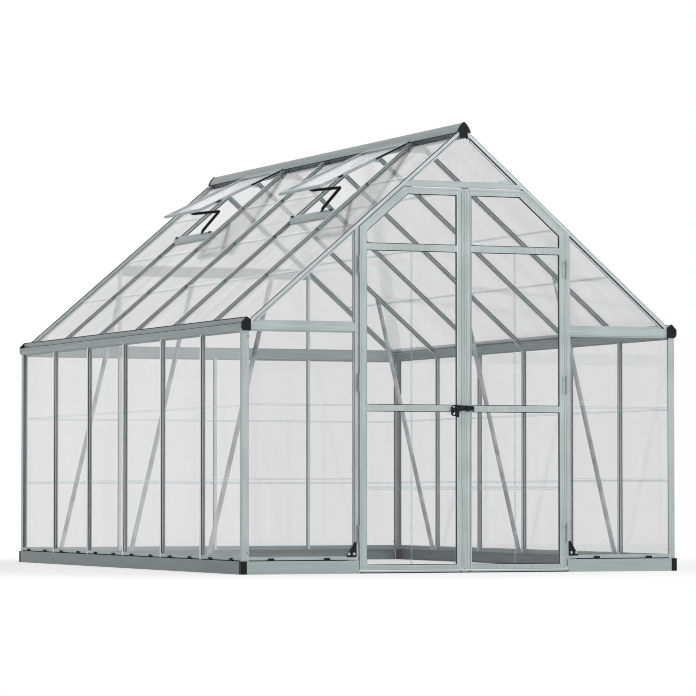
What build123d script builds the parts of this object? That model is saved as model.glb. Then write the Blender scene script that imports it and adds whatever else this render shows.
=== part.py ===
from build123d import *
import math
import os

os.makedirs("parts", exist_ok=True)

# A polycarbonate greenhouse with a pitched roof, a pair of hinged doors in the front gable
# and two roof vents propped open. Millimetres, +Z up, front gable towards -Y.
# The origin is the centre of the footprint, at ground level.

# Bays and overall form
bay = 610
bays_wide = 4
bays_long = 6
eave_z = 1249.691
roof_pitch = 0.8595
frame_lip = 2
base_proud = 10

# Base rails and their corner pieces
base_tall = 66
base_wall = 2.5
base_top_flange = 50
base_foot_flange = 30
corner_leg = 34
corner_round = 7
corner_wall = 3

# Glazing bars: a web with flanges and a pair of ribs that hold the sheet
bar_wide = 16
bar_deep = 26
bar_wall = 2
sheet_in = 10
sheet_thick = 4
slot_gap = 0.3
rib_wall = 1.6
rib_tall = 8
edge_gap = 0.5
joint_gap = 0.3

# Corner posts and door posts
corner_post_wide = 36
corner_core = 18
corner_rib_end = 32
door_post_near = 589
door_post_far = 608

# Wall sheets, three in each bay, with clear jointing strips between them
sheet_rows = 3
sheet_row = 377
strip_tall = 12
strip_wall = 1.1
strip_web = 1

# Sill channel that carries the lowest sheets
sill_foot = 2
sill_shadow = 5
sill_tall = 22

# Gutter and its end caps
gutter_near_in = 41
gutter_far_out = 9
gutter_low = 1229
gutter_bend = 1243
gutter_rim = 1266
gutter_trough_in = 15
gutter_lip = 1293
gutter_peak = 1300
gutter_peak_in = 19
gutter_wall = 2
cap_thick = 12
cap_notch_half = 6
cap_notch_tall = 5
cap_brim = 6
cap_rib = (4, 2, 10)
gutter_groove_in = 7
gutter_groove_half = 1

# Ridge beam
ridge_half = 20
ridge_drop = 54
crown_half = 33
crown_shoulder_up = 4.0635
crown_belly_x = 20.5
crown_belly_up = 4
crown_rise = 26
ridge_wall = 2.5
cap_proud = 3.5
cap_foot = (6, 5)

# Gable frames
front_rail_low = 1235
front_rail_high = 1277
header_drop = (311, 288)
rear_rail_low = 1224
rear_rail_high = 1282
collar_low = 1721
collar_high = 1769
gable_lip = 13
peak_lip_gap = 20
rafter_rib_reach = 10
rear_mullions = (-bay, 0, bay)
groove_deep = 1.2
groove_wide = 3
rail_groove_in = 8

# Roof sheets: places of the joints, down the slope from the ridge
roof_joint_run = 377
roof_joint_first = 380
roof_joints = 3

# Gussets of the door posts
gusset_lap = 8
gusset_wide = 55
gusset_tall = 76
gusset_top = 10
gusset_toe = 4
gusset_thick = 3

# Ridge plates
plate_thick = 2.5
plate_drop = 79
plate_depth = 15

# Inner struts
strut_round = 25
strut_flat = 6
strut_tab = 40
strut_neck = 45
strut_foot_in = 44
strut_foot_z = 69
strut_head_in = 407

# Roof vents, held open
vent_bays = (1, 4)
vent_long = 570
vent_side_gap = 2
vent_bar_wide = 24
vent_bar_deep = 15
vent_fall = 26
vent_bead = 4
vent_neck = 14
vent_slot_depth = 7
vent_neck_half = 1.5
vent_lift = 13
sill_bar_x = 467
sill_bar_wide = 18
sill_bar_up = 8
stay_y = 170
stay_wide = 12
stay_thick = 3
stay_elbow_x = -366
stay_elbow_up = 50.577
stay_pivot = 4
stay_pivot_proud = 2
stay_foot_in = 2
stay_foot_up = 11
stay_head_drop = 7
stay_pad_half = 9
stay_pad_run = (-5, 9)
stay_pad_tall = 7
stay_lug_end = 2
stay_lug_tall = 6

# Doors
leaf_seam = 3.25
leaf_edge = 584
leaf_low = 19
leaf_top_drop = 320
leaf_proud = 8
leaf_thick = 20
leaf_clear = 5
stile_wide = 38
foot_rail_high = 42
lock_rail = (830, 861)
upper_rail_drop = (646, 613)
top_rail_drop = 352
slant_wide = 40
leaf_slot = 8
leaf_joint_x = 293
leaf_joint_z = 435
leaf_strip_tall = 20
leaf_groove_in = 9
leaf_groove_wide = 2.6
leaf_groove_deep = 1.5
threshold_tall = 13
threshold_deep = 44
threshold_step = 4
threshold_bevel = 3

# Hinges
hinge_x = 586.5
hinge_proud = 16
hinge_round = 6.5
hinge_tall = 90
hinge_heights = (203, 975, 1577)
pin_round = 3
pin_gap = 0.3
knuckle_gap = 1
hinge_leaf_thick = 2.5
hinge_plate_gap = 1
hinge_arm = 3
hinge_plate_in = (21, 3)
pin_drop = 2

# Latch, as outlines in X and Z: on the left its body with a spike below, on the right its arm
latch_proud = 16
latch_gap = 1
latch_low, latch_high = 835, 861
latch_body = [(-62, 863), (-75, 850), (-75, 815), (-66, 806), (-50, 806)]
latch_spike = [(-46, 822), (-43, 800), (-37, 800), (-34, 832)]
latch_ring = ((-59, 820), 7)
latch_boss = ((-40, 844), 11, 6)
catch_arm = [(44, 858), (50, 852), (50, 842), (44, 836)]

# Worked out from the sizes above
half_wide = bay * bays_wide / 2
half_long = bay * bays_long / 2
face_x = half_wide + frame_lip
face_y = half_long + frame_lip
base_x = face_x + base_proud
base_y = face_y + base_proud
ridge_z = eave_z + roof_pitch * face_x
ridge_low = ridge_z - ridge_drop
crown_belly = (crown_belly_x, ridge_z + crown_belly_up)
crown_top = ridge_z + crown_rise
plate_low = ridge_z - plate_drop
header_low, header_high = ridge_z - header_drop[0], ridge_z - header_drop[1]
leaf_high = ridge_z - leaf_top_drop
upper_rail = (ridge_z - upper_rail_drop[0], ridge_z - upper_rail_drop[1])
top_rail_low = ridge_z - top_rail_drop
gutter_near = face_x - gutter_near_in
gutter_foot = face_x
gutter_far = face_x + gutter_far_out
gutter_trough = face_x - gutter_trough_in
gutter_peak_x = face_x - gutter_peak_in
strut_foot_x = face_x - strut_foot_in
strut_head_x = face_x - strut_head_in
leaf_front = face_y + leaf_proud
hinge_y = face_y + hinge_proud
slant = math.sqrt(1 + roof_pitch**2)
outer_rib = (sheet_in - slot_gap - rib_wall, sheet_in - slot_gap)
sheet_band = (sheet_in, sheet_in + sheet_thick)
inner_rib = (sheet_in + sheet_thick + slot_gap, sheet_in + sheet_thick + slot_gap + rib_wall)
web_edge = bar_wall / 2 + edge_gap
sill_high = base_tall + sill_tall
sheet_low = base_tall + sill_foot + edge_gap
cross_lines = [bay * (i - bays_long / 2) for i in range(1, bays_long)]
bay_starts = [bay * (i - bays_long / 2) for i in range(bays_long)]
roof_joint_x = [(roof_joint_first + roof_joint_run * i) / slant for i in range(roof_joints)]


def roof_z(x, depth=0):
    """height of a line this deep under the roof's outer face"""
    return ridge_z - roof_pitch * abs(x) - depth * slant


def roof_x(z, depth=0):
    """distance from the middle at which that line has this height"""
    return (ridge_z - depth * slant - z) / roof_pitch


def wall_x(side, near, far):
    """the X range between two depths behind a side wall's outer face"""
    return sorted((side * (face_x - near), side * (face_x - far)))


def gable_y(side, near, far):
    """the Y range between two depths behind a gable's outer face"""
    return sorted((side * (face_y - near), side * (face_y - far)))


def mirrored(side, near, far):
    """the range between two distances from the middle, on one side of it"""
    return sorted((side * near, side * far))


def block(x, y, z, mode=Mode.ADD):
    """a block between ranges in X, Y and Z"""
    with Locations(((x[0] + x[1]) / 2, (y[0] + y[1]) / 2, (z[0] + z[1]) / 2)):
        Box(x[1] - x[0], y[1] - y[0], z[1] - z[0], mode=mode)


def loose_block(x, y, z):
    """the same block as a loose piece, for adding many at once"""
    return Solid.make_box(x[1] - x[0], y[1] - y[0], z[1] - z[0], Plane((x[0], y[0], z[0])))


def prism_y(outline, y, mode=Mode.ADD):
    """an outline in X and Z, run along Y between two places"""
    with BuildSketch(Plane.XZ.offset(-y[1])) as profile:
        with BuildLine():
            Polyline(*outline, close=True)
        make_face()
    return extrude(profile.sketch, amount=y[1] - y[0], mode=mode)


def slope_band(side, x, depth, y, mode=Mode.ADD):
    """a strip that follows the roof between two depths under its outer face"""
    outline = [
        (side * x[0], roof_z(x[0], depth[0])),
        (side * x[1], roof_z(x[1], depth[0])),
        (side * x[1], roof_z(x[1], depth[1])),
        (side * x[0], roof_z(x[0], depth[1])),
    ]
    return prism_y(outline, y, mode)


def trim_to_roof(depth):
    """cut away what stands above a line this deep under the roof"""
    above = [
        (-base_x, roof_z(base_x, depth)),
        (0, roof_z(0, depth)),
        (base_x, roof_z(base_x, depth)),
        (base_x, 2 * ridge_z),
        (-base_x, 2 * ridge_z),
    ]
    prism_y(above, (-base_y, base_y), Mode.SUBTRACT)


def upright_plane(x, y, z, inward):
    """a level sketch plane whose own Y axis points into the building"""
    across = Vector(*inward).cross(Vector(0, 0, 1))
    return Plane(origin=(x, y, z), x_dir=across, z_dir=(0, 0, 1))


def glazing_bar_section():
    """web, outer flange, two sheet ribs and inner flange of a glazing bar"""
    with Locations((0, bar_deep / 2)):
        Rectangle(bar_wall, bar_deep)
    for near, far in ((0, bar_wall), outer_rib, inner_rib, (bar_deep - bar_wall, bar_deep)):
        with Locations((0, (near + far) / 2)):
            Rectangle(bar_wide, far - near)


def finish(piece, name):
    """name a finished piece and write it"""
    piece.part.label = name
    export_step(piece.part, "parts/" + name + ".step")


# Base rails: a folded C with its web outside and a broad top flange
def base_rail(axis_range, side, along_x):
    """one base rail between two places along the wall"""
    outer = base_y if along_x else base_x
    for near, far, z in (
        (0, base_wall, (0, base_tall)),
        (base_wall, base_top_flange, (base_tall - base_wall, base_tall)),
        (base_wall, base_foot_flange, (0, base_wall)),
    ):
        across = mirrored(side, outer - far, outer - near)
        if along_x:
            reach = base_x - max(far, corner_leg)
            low, high = max(axis_range[0], -reach), min(axis_range[1], reach)
            block((low, high), across, z)
        else:
            block(across, axis_range, z)


corner_x = base_x - corner_leg
corner_y = base_y - corner_leg
with BuildPart() as base_front:
    base_rail((-corner_x, -door_post_near), -1, True)
    base_rail((door_post_near, corner_x), -1, True)
finish(base_front, "base_front")

with BuildPart() as base_rear:
    base_rail((-corner_x, corner_x), 1, True)
finish(base_rear, "base_rear")

for name, side in (("base_left", -1), ("base_right", 1)):
    with BuildPart() as base_side:
        base_rail((-corner_y, corner_y), side, False)
    finish(base_side, name)

# Corner pieces: moulded boots with a rounded outer edge, open below
with BuildPart() as base_corners:
    for side in (-1, 1):
        for end in (-1, 1):
            middle = (side * (base_x - corner_leg / 2), end * (base_y - corner_leg / 2))
            with BuildSketch() as boot:
                with Locations(middle):
                    RectangleRounded(corner_leg, corner_leg, corner_round)
            extrude(amount=base_tall)
            with BuildSketch() as hollow:
                with Locations(middle):
                    Rectangle(corner_leg - 2 * corner_wall, corner_leg - 2 * corner_wall)
            extrude(amount=base_tall - corner_wall, mode=Mode.SUBTRACT)
finish(base_corners, "base_corners")

# Threshold: a low ramped strip between the two front base rails
with BuildPart() as door_threshold:
    with BuildSketch(Plane.YZ.offset(-door_post_near)) as ramp:
        with BuildLine():
            Polyline(
                (-base_y, 0),
                (-base_y, threshold_tall - threshold_step),
                (-base_y + threshold_bevel, threshold_tall),
                (-base_y + threshold_deep - threshold_bevel, threshold_tall),
                (-base_y + threshold_deep, threshold_tall - threshold_step),
                (-base_y + threshold_deep, 0),
                (-base_y + threshold_deep - base_wall, 0),
                (-base_y + threshold_deep - base_wall, threshold_tall - base_wall),
                (-base_y + base_wall, threshold_tall - base_wall),
                (-base_y + base_wall, 0),
                close=True,
            )
        make_face()
    extrude(amount=2 * door_post_near)
finish(door_threshold, "door_threshold")

# Sill channels: cut between the posts, each carries the lowest sheet of one bay
sill_plates = (
    (0, bar_wall, sill_shadow, sill_tall),
    (outer_rib[0], outer_rib[1], 0, sill_tall),
    (inner_rib[0], inner_rib[1], 0, sill_tall),
    (0, outer_rib[1], sill_shadow, sill_shadow + sill_foot),
    (outer_rib[0], bar_deep, 0, sill_foot),
)


def sill(x, y, inward, length):
    """a sill channel with its middle at this place on the wall's outer face"""
    way = Vector(*inward)
    level = way.cross(Vector(0, 0, 1))
    with BuildSketch(Plane(origin=(x, y, base_tall), x_dir=way, z_dir=level)) as section:
        for near, far, low, high in sill_plates:
            with Locations(((near + far) / 2, (low + high) / 2)):
                Rectangle(far - near, high - low)
    return extrude(section.sketch, amount=length / 2, both=True, mode=Mode.PRIVATE)


bar_half = bar_wide / 2
post_edge_x = face_x - corner_post_wide - joint_gap
post_edge_y = face_y - corner_post_wide - joint_gap


def side_bay(start):
    """the free space along a side wall between two posts"""
    low = start + bar_half + joint_gap if start > -half_long else -post_edge_y
    end = start + bay
    high = end - bar_half - joint_gap if end < half_long else post_edge_y
    return (low, high)


def side_sheet(start):
    """the width of a side wall's sheet, from web to web"""
    low = start + web_edge if start > -half_long else -(face_y - corner_core - edge_gap)
    end = start + bay
    high = end - web_edge if end < half_long else face_y - corner_core - edge_gap
    return (low, high)


rear_lines = (-half_wide,) + rear_mullions + (half_wide,)


def rear_bay(index):
    """the free space along the rear wall between two posts"""
    low, high = rear_lines[index], rear_lines[index + 1]
    low = -post_edge_x if index == 0 else low + bar_half + joint_gap
    high = post_edge_x if index == len(rear_lines) - 2 else high - bar_half - joint_gap
    return (low, high)


def rear_sheet(index):
    """the width of a rear wall's sheet, from web to web"""
    low, high = rear_lines[index], rear_lines[index + 1]
    edge = face_x - corner_core - edge_gap
    low = -edge if index == 0 else low + web_edge
    high = edge if index == len(rear_lines) - 2 else high - web_edge
    return (low, high)


front_bay = (door_post_far + joint_gap, post_edge_x)
front_sheet = (door_post_far + edge_gap, face_x - corner_core - edge_gap)

sills = []
for side in (-1, 1):
    low, high = front_bay
    sills.append(sill(side * (low + high) / 2, -face_y, (0, 1, 0), high - low))
    for start in bay_starts:
        low, high = side_bay(start)
        sills.append(sill(side * face_x, (low + high) / 2, (-side, 0, 0), high - low))
for index in range(bays_wide):
    low, high = rear_bay(index)
    sills.append(sill((low + high) / 2, face_y, (0, -1, 0), high - low))
with BuildPart() as sill_rails:
    add(sills)
finish(sill_rails, "sill_rails")

# Corner posts: a square core with a wide outer angle and ribs for both walls' sheets
with BuildPart() as corner_posts:
    for side in (-1, 1):
        for end in (-1, 1):
            with BuildSketch(Plane.XY.offset(base_tall)) as section:
                for near, far, deep_near, deep_far in (
                    (0, corner_post_wide, 0, bar_wall),
                    (0, corner_core, corner_core - bar_wall, corner_core),
                    (corner_core - bar_wall, corner_rib_end, *outer_rib),
                    (corner_core - bar_wall, corner_rib_end, *inner_rib),
                ):
                    along = ((near + far) / 2, (deep_near + deep_far) / 2)
                    size = (far - near, deep_far - deep_near)
                    with Locations((side * (face_x - along[0]), end * (face_y - along[1]))):
                        Rectangle(*size)
                    with Locations((side * (face_x - along[1]), end * (face_y - along[0]))):
                        Rectangle(*reversed(size))
            extrude(amount=gutter_low - base_tall)
finish(corner_posts, "corner_posts")

# Side mullions: one glazing bar on each bay line of the two side walls
with BuildPart() as side_mullions:
    for side in (-1, 1):
        with BuildSketch(upright_plane(side * face_x, 0, base_tall, (-side, 0, 0))):
            with Locations(*[(y, 0) for y in cross_lines]):
                glazing_bar_section()
        extrude(amount=gutter_low - base_tall)
finish(side_mullions, "side_mullions")

# Rear mullions: three up to the eave rail, and two more from there up to the rafters
with BuildPart() as rear_mullion_bars:
    for lines, low, high in (
        (rear_mullions, base_tall, rear_rail_low),
        ((-bay, bay), rear_rail_high, roof_z(bay)),
    ):
        with BuildSketch(upright_plane(0, face_y, low, (0, -1, 0))):
            with Locations(*[(x, 0) for x in lines]):
                glazing_bar_section()
        extrude(amount=high - low)
    trim_to_roof(bar_wide)
finish(rear_mullion_bars, "rear_mullions")

# Door posts: tubes from the base up to the rafters, with ribs for the front sheets
with BuildPart() as door_posts:
    for side in (-1, 1):
        tall = (base_tall, roof_z(door_post_near))
        hollow_x = mirrored(side, door_post_near + bar_wall, door_post_far - bar_wall)
        block(mirrored(side, door_post_near, door_post_far), gable_y(-1, 0, bar_deep), tall)
        block(hollow_x, gable_y(-1, bar_wall, bar_deep - bar_wall), tall, Mode.SUBTRACT)
        for rib in (outer_rib, inner_rib):
            rib_x = mirrored(side, door_post_far, door_post_far + rib_tall)
            block(rib_x, gable_y(-1, *rib), (sill_high + joint_gap, front_rail_low - joint_gap - rib_tall))
            block(rib_x, gable_y(-1, *rib), (front_rail_high + rib_tall + joint_gap, tall[1]))
    trim_to_roof(bar_wide)
finish(door_posts, "door_posts")

# Gutters: a trough outside, a closed seat for the rafters inside, ribs above and below
for name, side in (("left_gutter", -1), ("right_gutter", 1)):
    seat_z = roof_z(gutter_near)
    floor_z = gutter_low + gutter_wall
    with BuildPart() as gutter:
        with BuildSketch(Plane.XZ.offset(-face_y)) as trough:
            with BuildLine():
                Polyline(
                    (side * gutter_near, gutter_low),
                    (side * gutter_foot, gutter_low),
                    (side * gutter_far, gutter_bend),
                    (side * gutter_far, gutter_rim),
                    (side * (gutter_far - gutter_wall), gutter_rim),
                    (side * (gutter_far - gutter_wall), gutter_bend + 1),
                    (side * (gutter_foot - gutter_wall / 2), floor_z),
                    (side * gutter_trough, floor_z),
                    (side * gutter_trough, gutter_lip),
                    (side * gutter_peak_x, gutter_peak),
                    (side * gutter_near, seat_z),
                    close=True,
                )
            make_face()
            with BuildLine():
                Polyline(
                    (side * (gutter_near + gutter_wall), floor_z),
                    (side * (gutter_trough - gutter_wall), floor_z),
                    (side * (gutter_trough - gutter_wall), gutter_lip - gutter_wall),
                    (side * (gutter_near + gutter_wall), seat_z - gutter_wall),
                    close=True,
                )
            make_face(mode=Mode.SUBTRACT)
        extrude(amount=2 * face_y)
        groove_x = mirrored(side, gutter_far - groove_deep, gutter_far)
        for z in (gutter_bend + gutter_groove_in, gutter_rim - gutter_groove_in):
            groove_z = (z - gutter_groove_half, z + gutter_groove_half)
            block(groove_x, (-face_y, face_y), groove_z, Mode.SUBTRACT)
        for start in bay_starts:
            for rib in (outer_rib, inner_rib):
                block(wall_x(side, *rib), side_bay(start), (gutter_low - rib_tall, gutter_low))
                slope_band(side, (gutter_near - rib_tall, gutter_near), rib, side_bay(start))
    finish(gutter, name)

# End caps of the gutters: pointed top, two lobes below and an upright rib
with BuildPart() as gutter_caps:
    for side in (-1, 1):
        for end in (-1, 1):
            cap_from = face_y if end > 0 else -face_y - cap_thick
            notch_x = (gutter_near + gutter_foot) / 2
            with BuildSketch(Plane.XZ.offset(-(cap_from + cap_thick))) as cap:
                with BuildLine():
                    Polyline(
                        (side * (notch_x + cap_notch_half), gutter_low),
                        (side * gutter_foot, gutter_low),
                        (side * gutter_far, gutter_bend + 2),
                        (side * gutter_far, gutter_rim + cap_brim),
                        (side * gutter_peak_x, gutter_peak),
                        (side * gutter_near, roof_z(gutter_near)),
                        (side * gutter_near, gutter_low),
                        (side * (notch_x - cap_notch_half), gutter_low),
                    )
                    ThreePointArc(
                        (side * (notch_x - cap_notch_half), gutter_low),
                        (side * notch_x, gutter_low + cap_notch_tall),
                        (side * (notch_x + cap_notch_half), gutter_low),
                    )
                make_face()
            extrude(amount=cap_thick)
            rib_x = mirrored(side, gutter_peak_x, gutter_peak_x + cap_rib[0])
            rib_y = mirrored(end, face_y + cap_thick, face_y + cap_thick + cap_rib[1])
            block(rib_x, rib_y, (gutter_bend, gutter_rim + cap_rib[2]))
finish(gutter_caps, "gutter_caps")

# Gable rafters: a box with a lip for the gable's sheets and ribs for the roof's
rib_reach = bar_deep + rafter_rib_reach


def gable_rafters(side, lip_ranges):
    """both rafters of one gable, with sheet lips along the given stretches"""
    for half in (-1, 1):
        span = (ridge_half, gutter_near)
        slope_band(half, span, (0, bar_wide), gable_y(side, 0, bar_deep))
        hollow = (bar_wall, bar_wide - bar_wall)
        slope_band(half, span, hollow, gable_y(side, bar_wall, bar_deep - bar_wall), Mode.SUBTRACT)
        for rib in (outer_rib, inner_rib):
            slope_band(half, span, rib, gable_y(side, bar_deep, rib_reach))
            for stretch in lip_ranges:
                slope_band(half, stretch, (bar_wide, bar_wide + gable_lip), gable_y(side, *rib))


lip_depth = bar_wide + gable_lip
lip_far = roof_x(front_rail_high + rib_tall, lip_depth)
rear_lip_far = roof_x(rear_rail_high + rib_tall, lip_depth)
with BuildPart() as front_rafters:
    header_lip = roof_x(header_high + rib_tall, lip_depth) - joint_gap
    lower_lip = (door_post_far + rib_tall + joint_gap, lip_far)
    gable_rafters(-1, (lower_lip, (ridge_half + peak_lip_gap, header_lip)))
finish(front_rafters, "front_rafters")

with BuildPart() as rear_rafters:
    collar_lip = roof_x(collar_high + rib_tall, lip_depth) - joint_gap
    gable_rafters(1, ((bay + bar_half + joint_gap, rear_lip_far), (ridge_half + peak_lip_gap, collar_lip)))
finish(rear_rafters, "rear_rafters")

# Roof rafters: glazing bars from the ridge beam down to the gutters, ends cut upright
with BuildPart() as roof_rafters:
    for side in (-1, 1):
        down = Vector(side, 0, -roof_pitch).normalized()
        inward = Vector(-side * roof_pitch, 0, -1).normalized()
        with BuildSketch(Plane(origin=(0, 0, ridge_z), x_dir=inward.cross(down), z_dir=down)):
            with Locations(*[(y, 0) for y in cross_lines]):
                glazing_bar_section()
        extrude(amount=half_wide * slant)
    tall = (gutter_low, ridge_z + bay)
    long = (-face_y, face_y)
    block((-ridge_half, ridge_half), long, tall, Mode.SUBTRACT)
    for side in (-1, 1):
        block(mirrored(side, gutter_near, base_x + bay), long, (0, ridge_z), Mode.SUBTRACT)
finish(roof_rafters, "roof_rafters")


# Ridge beam: a pointed crown whose skirt covers the rafters' ends, hollow inside
crown_shoulder = roof_z(crown_half) + joint_gap + crown_shoulder_up


def ridge_profile(y, grow, wall):
    """section of the ridge beam at a place along it, grown, and hollow if it has a wall"""
    with BuildSketch(Plane.XZ.offset(-y)) as profile:
        with BuildLine():
            skirt = Polyline(
                (0, ridge_low),
                (ridge_half, ridge_low),
                (ridge_half, roof_z(ridge_half) + joint_gap),
                (crown_half + grow, roof_z(crown_half) + joint_gap),
                (crown_half + grow, crown_shoulder),
            )
            ThreePointArc(skirt @ 1, (crown_belly[0] + grow, crown_belly[1]), (0, crown_top + grow))
            mirror(about=Plane.YZ)
        make_face()
        if wall:
            offset(amount=-wall, mode=Mode.SUBTRACT)
    return profile.sketch


with BuildPart() as ridge_beam:
    extrude(ridge_profile(face_y, 0, ridge_wall), amount=2 * face_y)
finish(ridge_beam, "ridge_beam")

# Ridge caps: moulded ends a little larger than the crown, with two feet below
with BuildPart() as ridge_caps:
    for end in (-1, 1):
        cap_y = mirrored(end, face_y, face_y + cap_thick)
        extrude(ridge_profile(cap_y[1], cap_proud, 0), amount=cap_thick)
        for side in (-1, 1):
            foot_x = mirrored(side, ridge_half - cap_foot[0], ridge_half)
            block(foot_x, cap_y, (ridge_low - cap_foot[1], ridge_low))
finish(ridge_caps, "ridge_caps")

# Ridge plates: flat gussets that tie each pair of rafters under the ridge beam
with BuildPart() as ridge_plates:
    for y in cross_lines:
        beside = y + bar_half
        plate_top = roof_z(ridge_half, plate_depth)
        plate_reach = roof_x(plate_low, plate_depth)
        outline = [
            (-plate_reach, plate_low),
            (plate_reach, plate_low),
            (ridge_half + edge_gap, plate_top),
            (ridge_half + edge_gap, ridge_low - joint_gap),
            (-ridge_half - edge_gap, ridge_low - joint_gap),
            (-ridge_half - edge_gap, plate_top),
        ]
        prism_y(outline, (beside, beside + plate_thick))
finish(ridge_plates, "ridge_plates")


# Level rails of the gables: box sections with grooves in their faces and sheet ribs
def gable_rail(side, x, z, grooves):
    """a hollow level rail in a gable wall"""
    block(x, gable_y(side, 0, bar_deep), z)
    inside = (z[0] + bar_wall, z[1] - bar_wall)
    block(x, gable_y(side, bar_wall, bar_deep - bar_wall), inside, Mode.SUBTRACT)
    for groove in grooves:
        cut = (groove - groove_wide / 2, groove + groove_wide / 2)
        block(x, gable_y(side, 0, groove_deep), cut, Mode.SUBTRACT)


def rail_ribs(side, x, z):
    """the pair of ribs that hold a sheet's level edge"""
    for rib in (outer_rib, inner_rib):
        block(x, gable_y(side, *rib), z)


with BuildPart() as front_eave_rails:
    for side in (-1, 1):
        rail_x = mirrored(side, door_post_far, gutter_near)
        rib_x = mirrored(side, front_bay[0], gutter_near - joint_gap)
        upper_x = mirrored(side, front_bay[0], roof_x(front_rail_high, bar_wide))
        rail_z = (front_rail_low, front_rail_high)
        gable_rail(-1, rail_x, rail_z, (front_rail_low + rail_groove_in, front_rail_high - rail_groove_in))
        rail_ribs(-1, rib_x, (front_rail_low - rib_tall, front_rail_low))
        rail_ribs(-1, upper_x, (front_rail_high, front_rail_high + rib_tall))
    trim_to_roof(bar_wide)
finish(front_eave_rails, "front_eave_rails")

with BuildPart() as rear_eave_rail:
    rail_z = (rear_rail_low, rear_rail_high)
    rail_x = (-gutter_near, gutter_near)
    gable_rail(1, rail_x, rail_z, ((rear_rail_low + rear_rail_high) / 2,))
    for index in range(bays_wide):
        rail_ribs(1, rear_bay(index), (rear_rail_low - rib_tall, rear_rail_low))
    upper_far = roof_x(rear_rail_high, bar_wide)
    inner_edge = bay - bar_half - joint_gap
    outer_edge = bay + bar_half + joint_gap
    for x in ((-upper_far, -outer_edge), (-inner_edge, inner_edge), (outer_edge, upper_far)):
        rail_ribs(1, x, (rear_rail_high, rear_rail_high + rib_tall))
    trim_to_roof(bar_wide)
finish(rear_eave_rail, "rear_eave_rail")

with BuildPart() as door_header:
    header_half = roof_x(header_low, bar_wide)
    gable_rail(-1, (-header_half, header_half), (header_low, header_high), ())
    header_top = roof_x(header_high, bar_wide)
    rail_ribs(-1, (-header_top, header_top), (header_high, header_high + rib_tall))
    trim_to_roof(bar_wide)
finish(door_header, "door_header")

with BuildPart() as collar_bar:
    collar_end = bay - bar_half
    gable_rail(1, (-collar_end, collar_end), (collar_low, collar_high), ())
    collar_top = roof_x(collar_high, bar_wide)
    collar_inner = collar_end - joint_gap
    rail_ribs(1, (-collar_inner, collar_inner), (collar_low - rib_tall, collar_low))
    rail_ribs(1, (-collar_top, collar_top), (collar_high, collar_high + rib_tall))
    trim_to_roof(bar_wide)
finish(collar_bar, "collar_bar")

# Gussets at the feet of the door posts
gusset_near = door_post_far - gusset_lap
with BuildPart() as door_post_gussets:
    for side in (-1, 1):
        low_z = sill_high - gusset_toe
        toe_x = gusset_near + gusset_wide
        outline = [
            (side * gusset_near, low_z),
            (side * toe_x, low_z),
            (side * toe_x, sill_high),
            (side * (gusset_near + gusset_top), low_z + gusset_tall),
            (side * gusset_near, low_z + gusset_tall),
        ]
        prism_y(outline, (-face_y - gusset_thick, -face_y))
finish(door_post_gussets, "door_post_gussets")

# Struts: tubes from the base up to the rafters, flattened at both ends
with BuildPart() as roof_struts:
    for y in cross_lines[::2]:
        for side in (-1, 1):
            head_z = roof_z(strut_head_x, bar_deep) + strut_round / 2
            foot = Vector(side * strut_foot_x, y, strut_foot_z)
            head = Vector(side * strut_head_x, y, head_z)
            run = (head - foot).normalized()
            length = (head - foot).length
            stops = (0, strut_tab, strut_tab + strut_neck)
            level = Vector(0, 1, 0)
            for end, way in ((foot, 1), (head, -1)):
                tab_plane = Plane(origin=end, x_dir=level, z_dir=run * way)
                neck_plane = Plane(origin=end + run * way * stops[1], x_dir=level, z_dir=run * way)
                round_plane = Plane(origin=end + run * way * stops[2], x_dir=level, z_dir=run * way)
                with BuildSketch(tab_plane):
                    Rectangle(strut_flat, strut_round)
                extrude(amount=stops[1])
                with BuildSketch(neck_plane):
                    Rectangle(strut_flat, strut_round)
                with BuildSketch(round_plane):
                    Circle(strut_round / 2)
                loft()
            with BuildSketch(Plane(origin=foot + run * stops[2], x_dir=level, z_dir=run)):
                Circle(strut_round / 2)
            extrude(amount=length - 2 * stops[2])
    trim_to_roof(bar_deep + joint_gap)
finish(roof_struts, "roof_struts")


# Wall sheets: three above each other in every bay, a clear strip at each joint
def row_ranges(low, high):
    """the heights of the sheets between two rails, joints counted down from the top"""
    joints = [high - sheet_row * i for i in range(sheet_rows - 1, 0, -1)]
    edges = [low] + joints + [high]
    gap = strip_web / 2 + joint_gap
    rows = []
    for i in range(len(edges) - 1):
        bottom = edges[i] + (gap if i > 0 else 0)
        top = edges[i + 1] - (gap if i < len(edges) - 2 else 0)
        rows.append((bottom, top))
    return rows


side_rows = row_ranges(sheet_low, gutter_low - edge_gap)
front_rows = row_ranges(sheet_low, front_rail_low - edge_gap)
rear_rows = row_ranges(sheet_low, rear_rail_low - edge_gap)

for name, side in (("left_wall_panels", -1), ("right_wall_panels", 1)):
    across = wall_x(side, *sheet_band)
    with BuildPart() as wall_panels:
        add([loose_block(across, side_sheet(start), row) for start in bay_starts for row in side_rows])
    finish(wall_panels, name)

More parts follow.
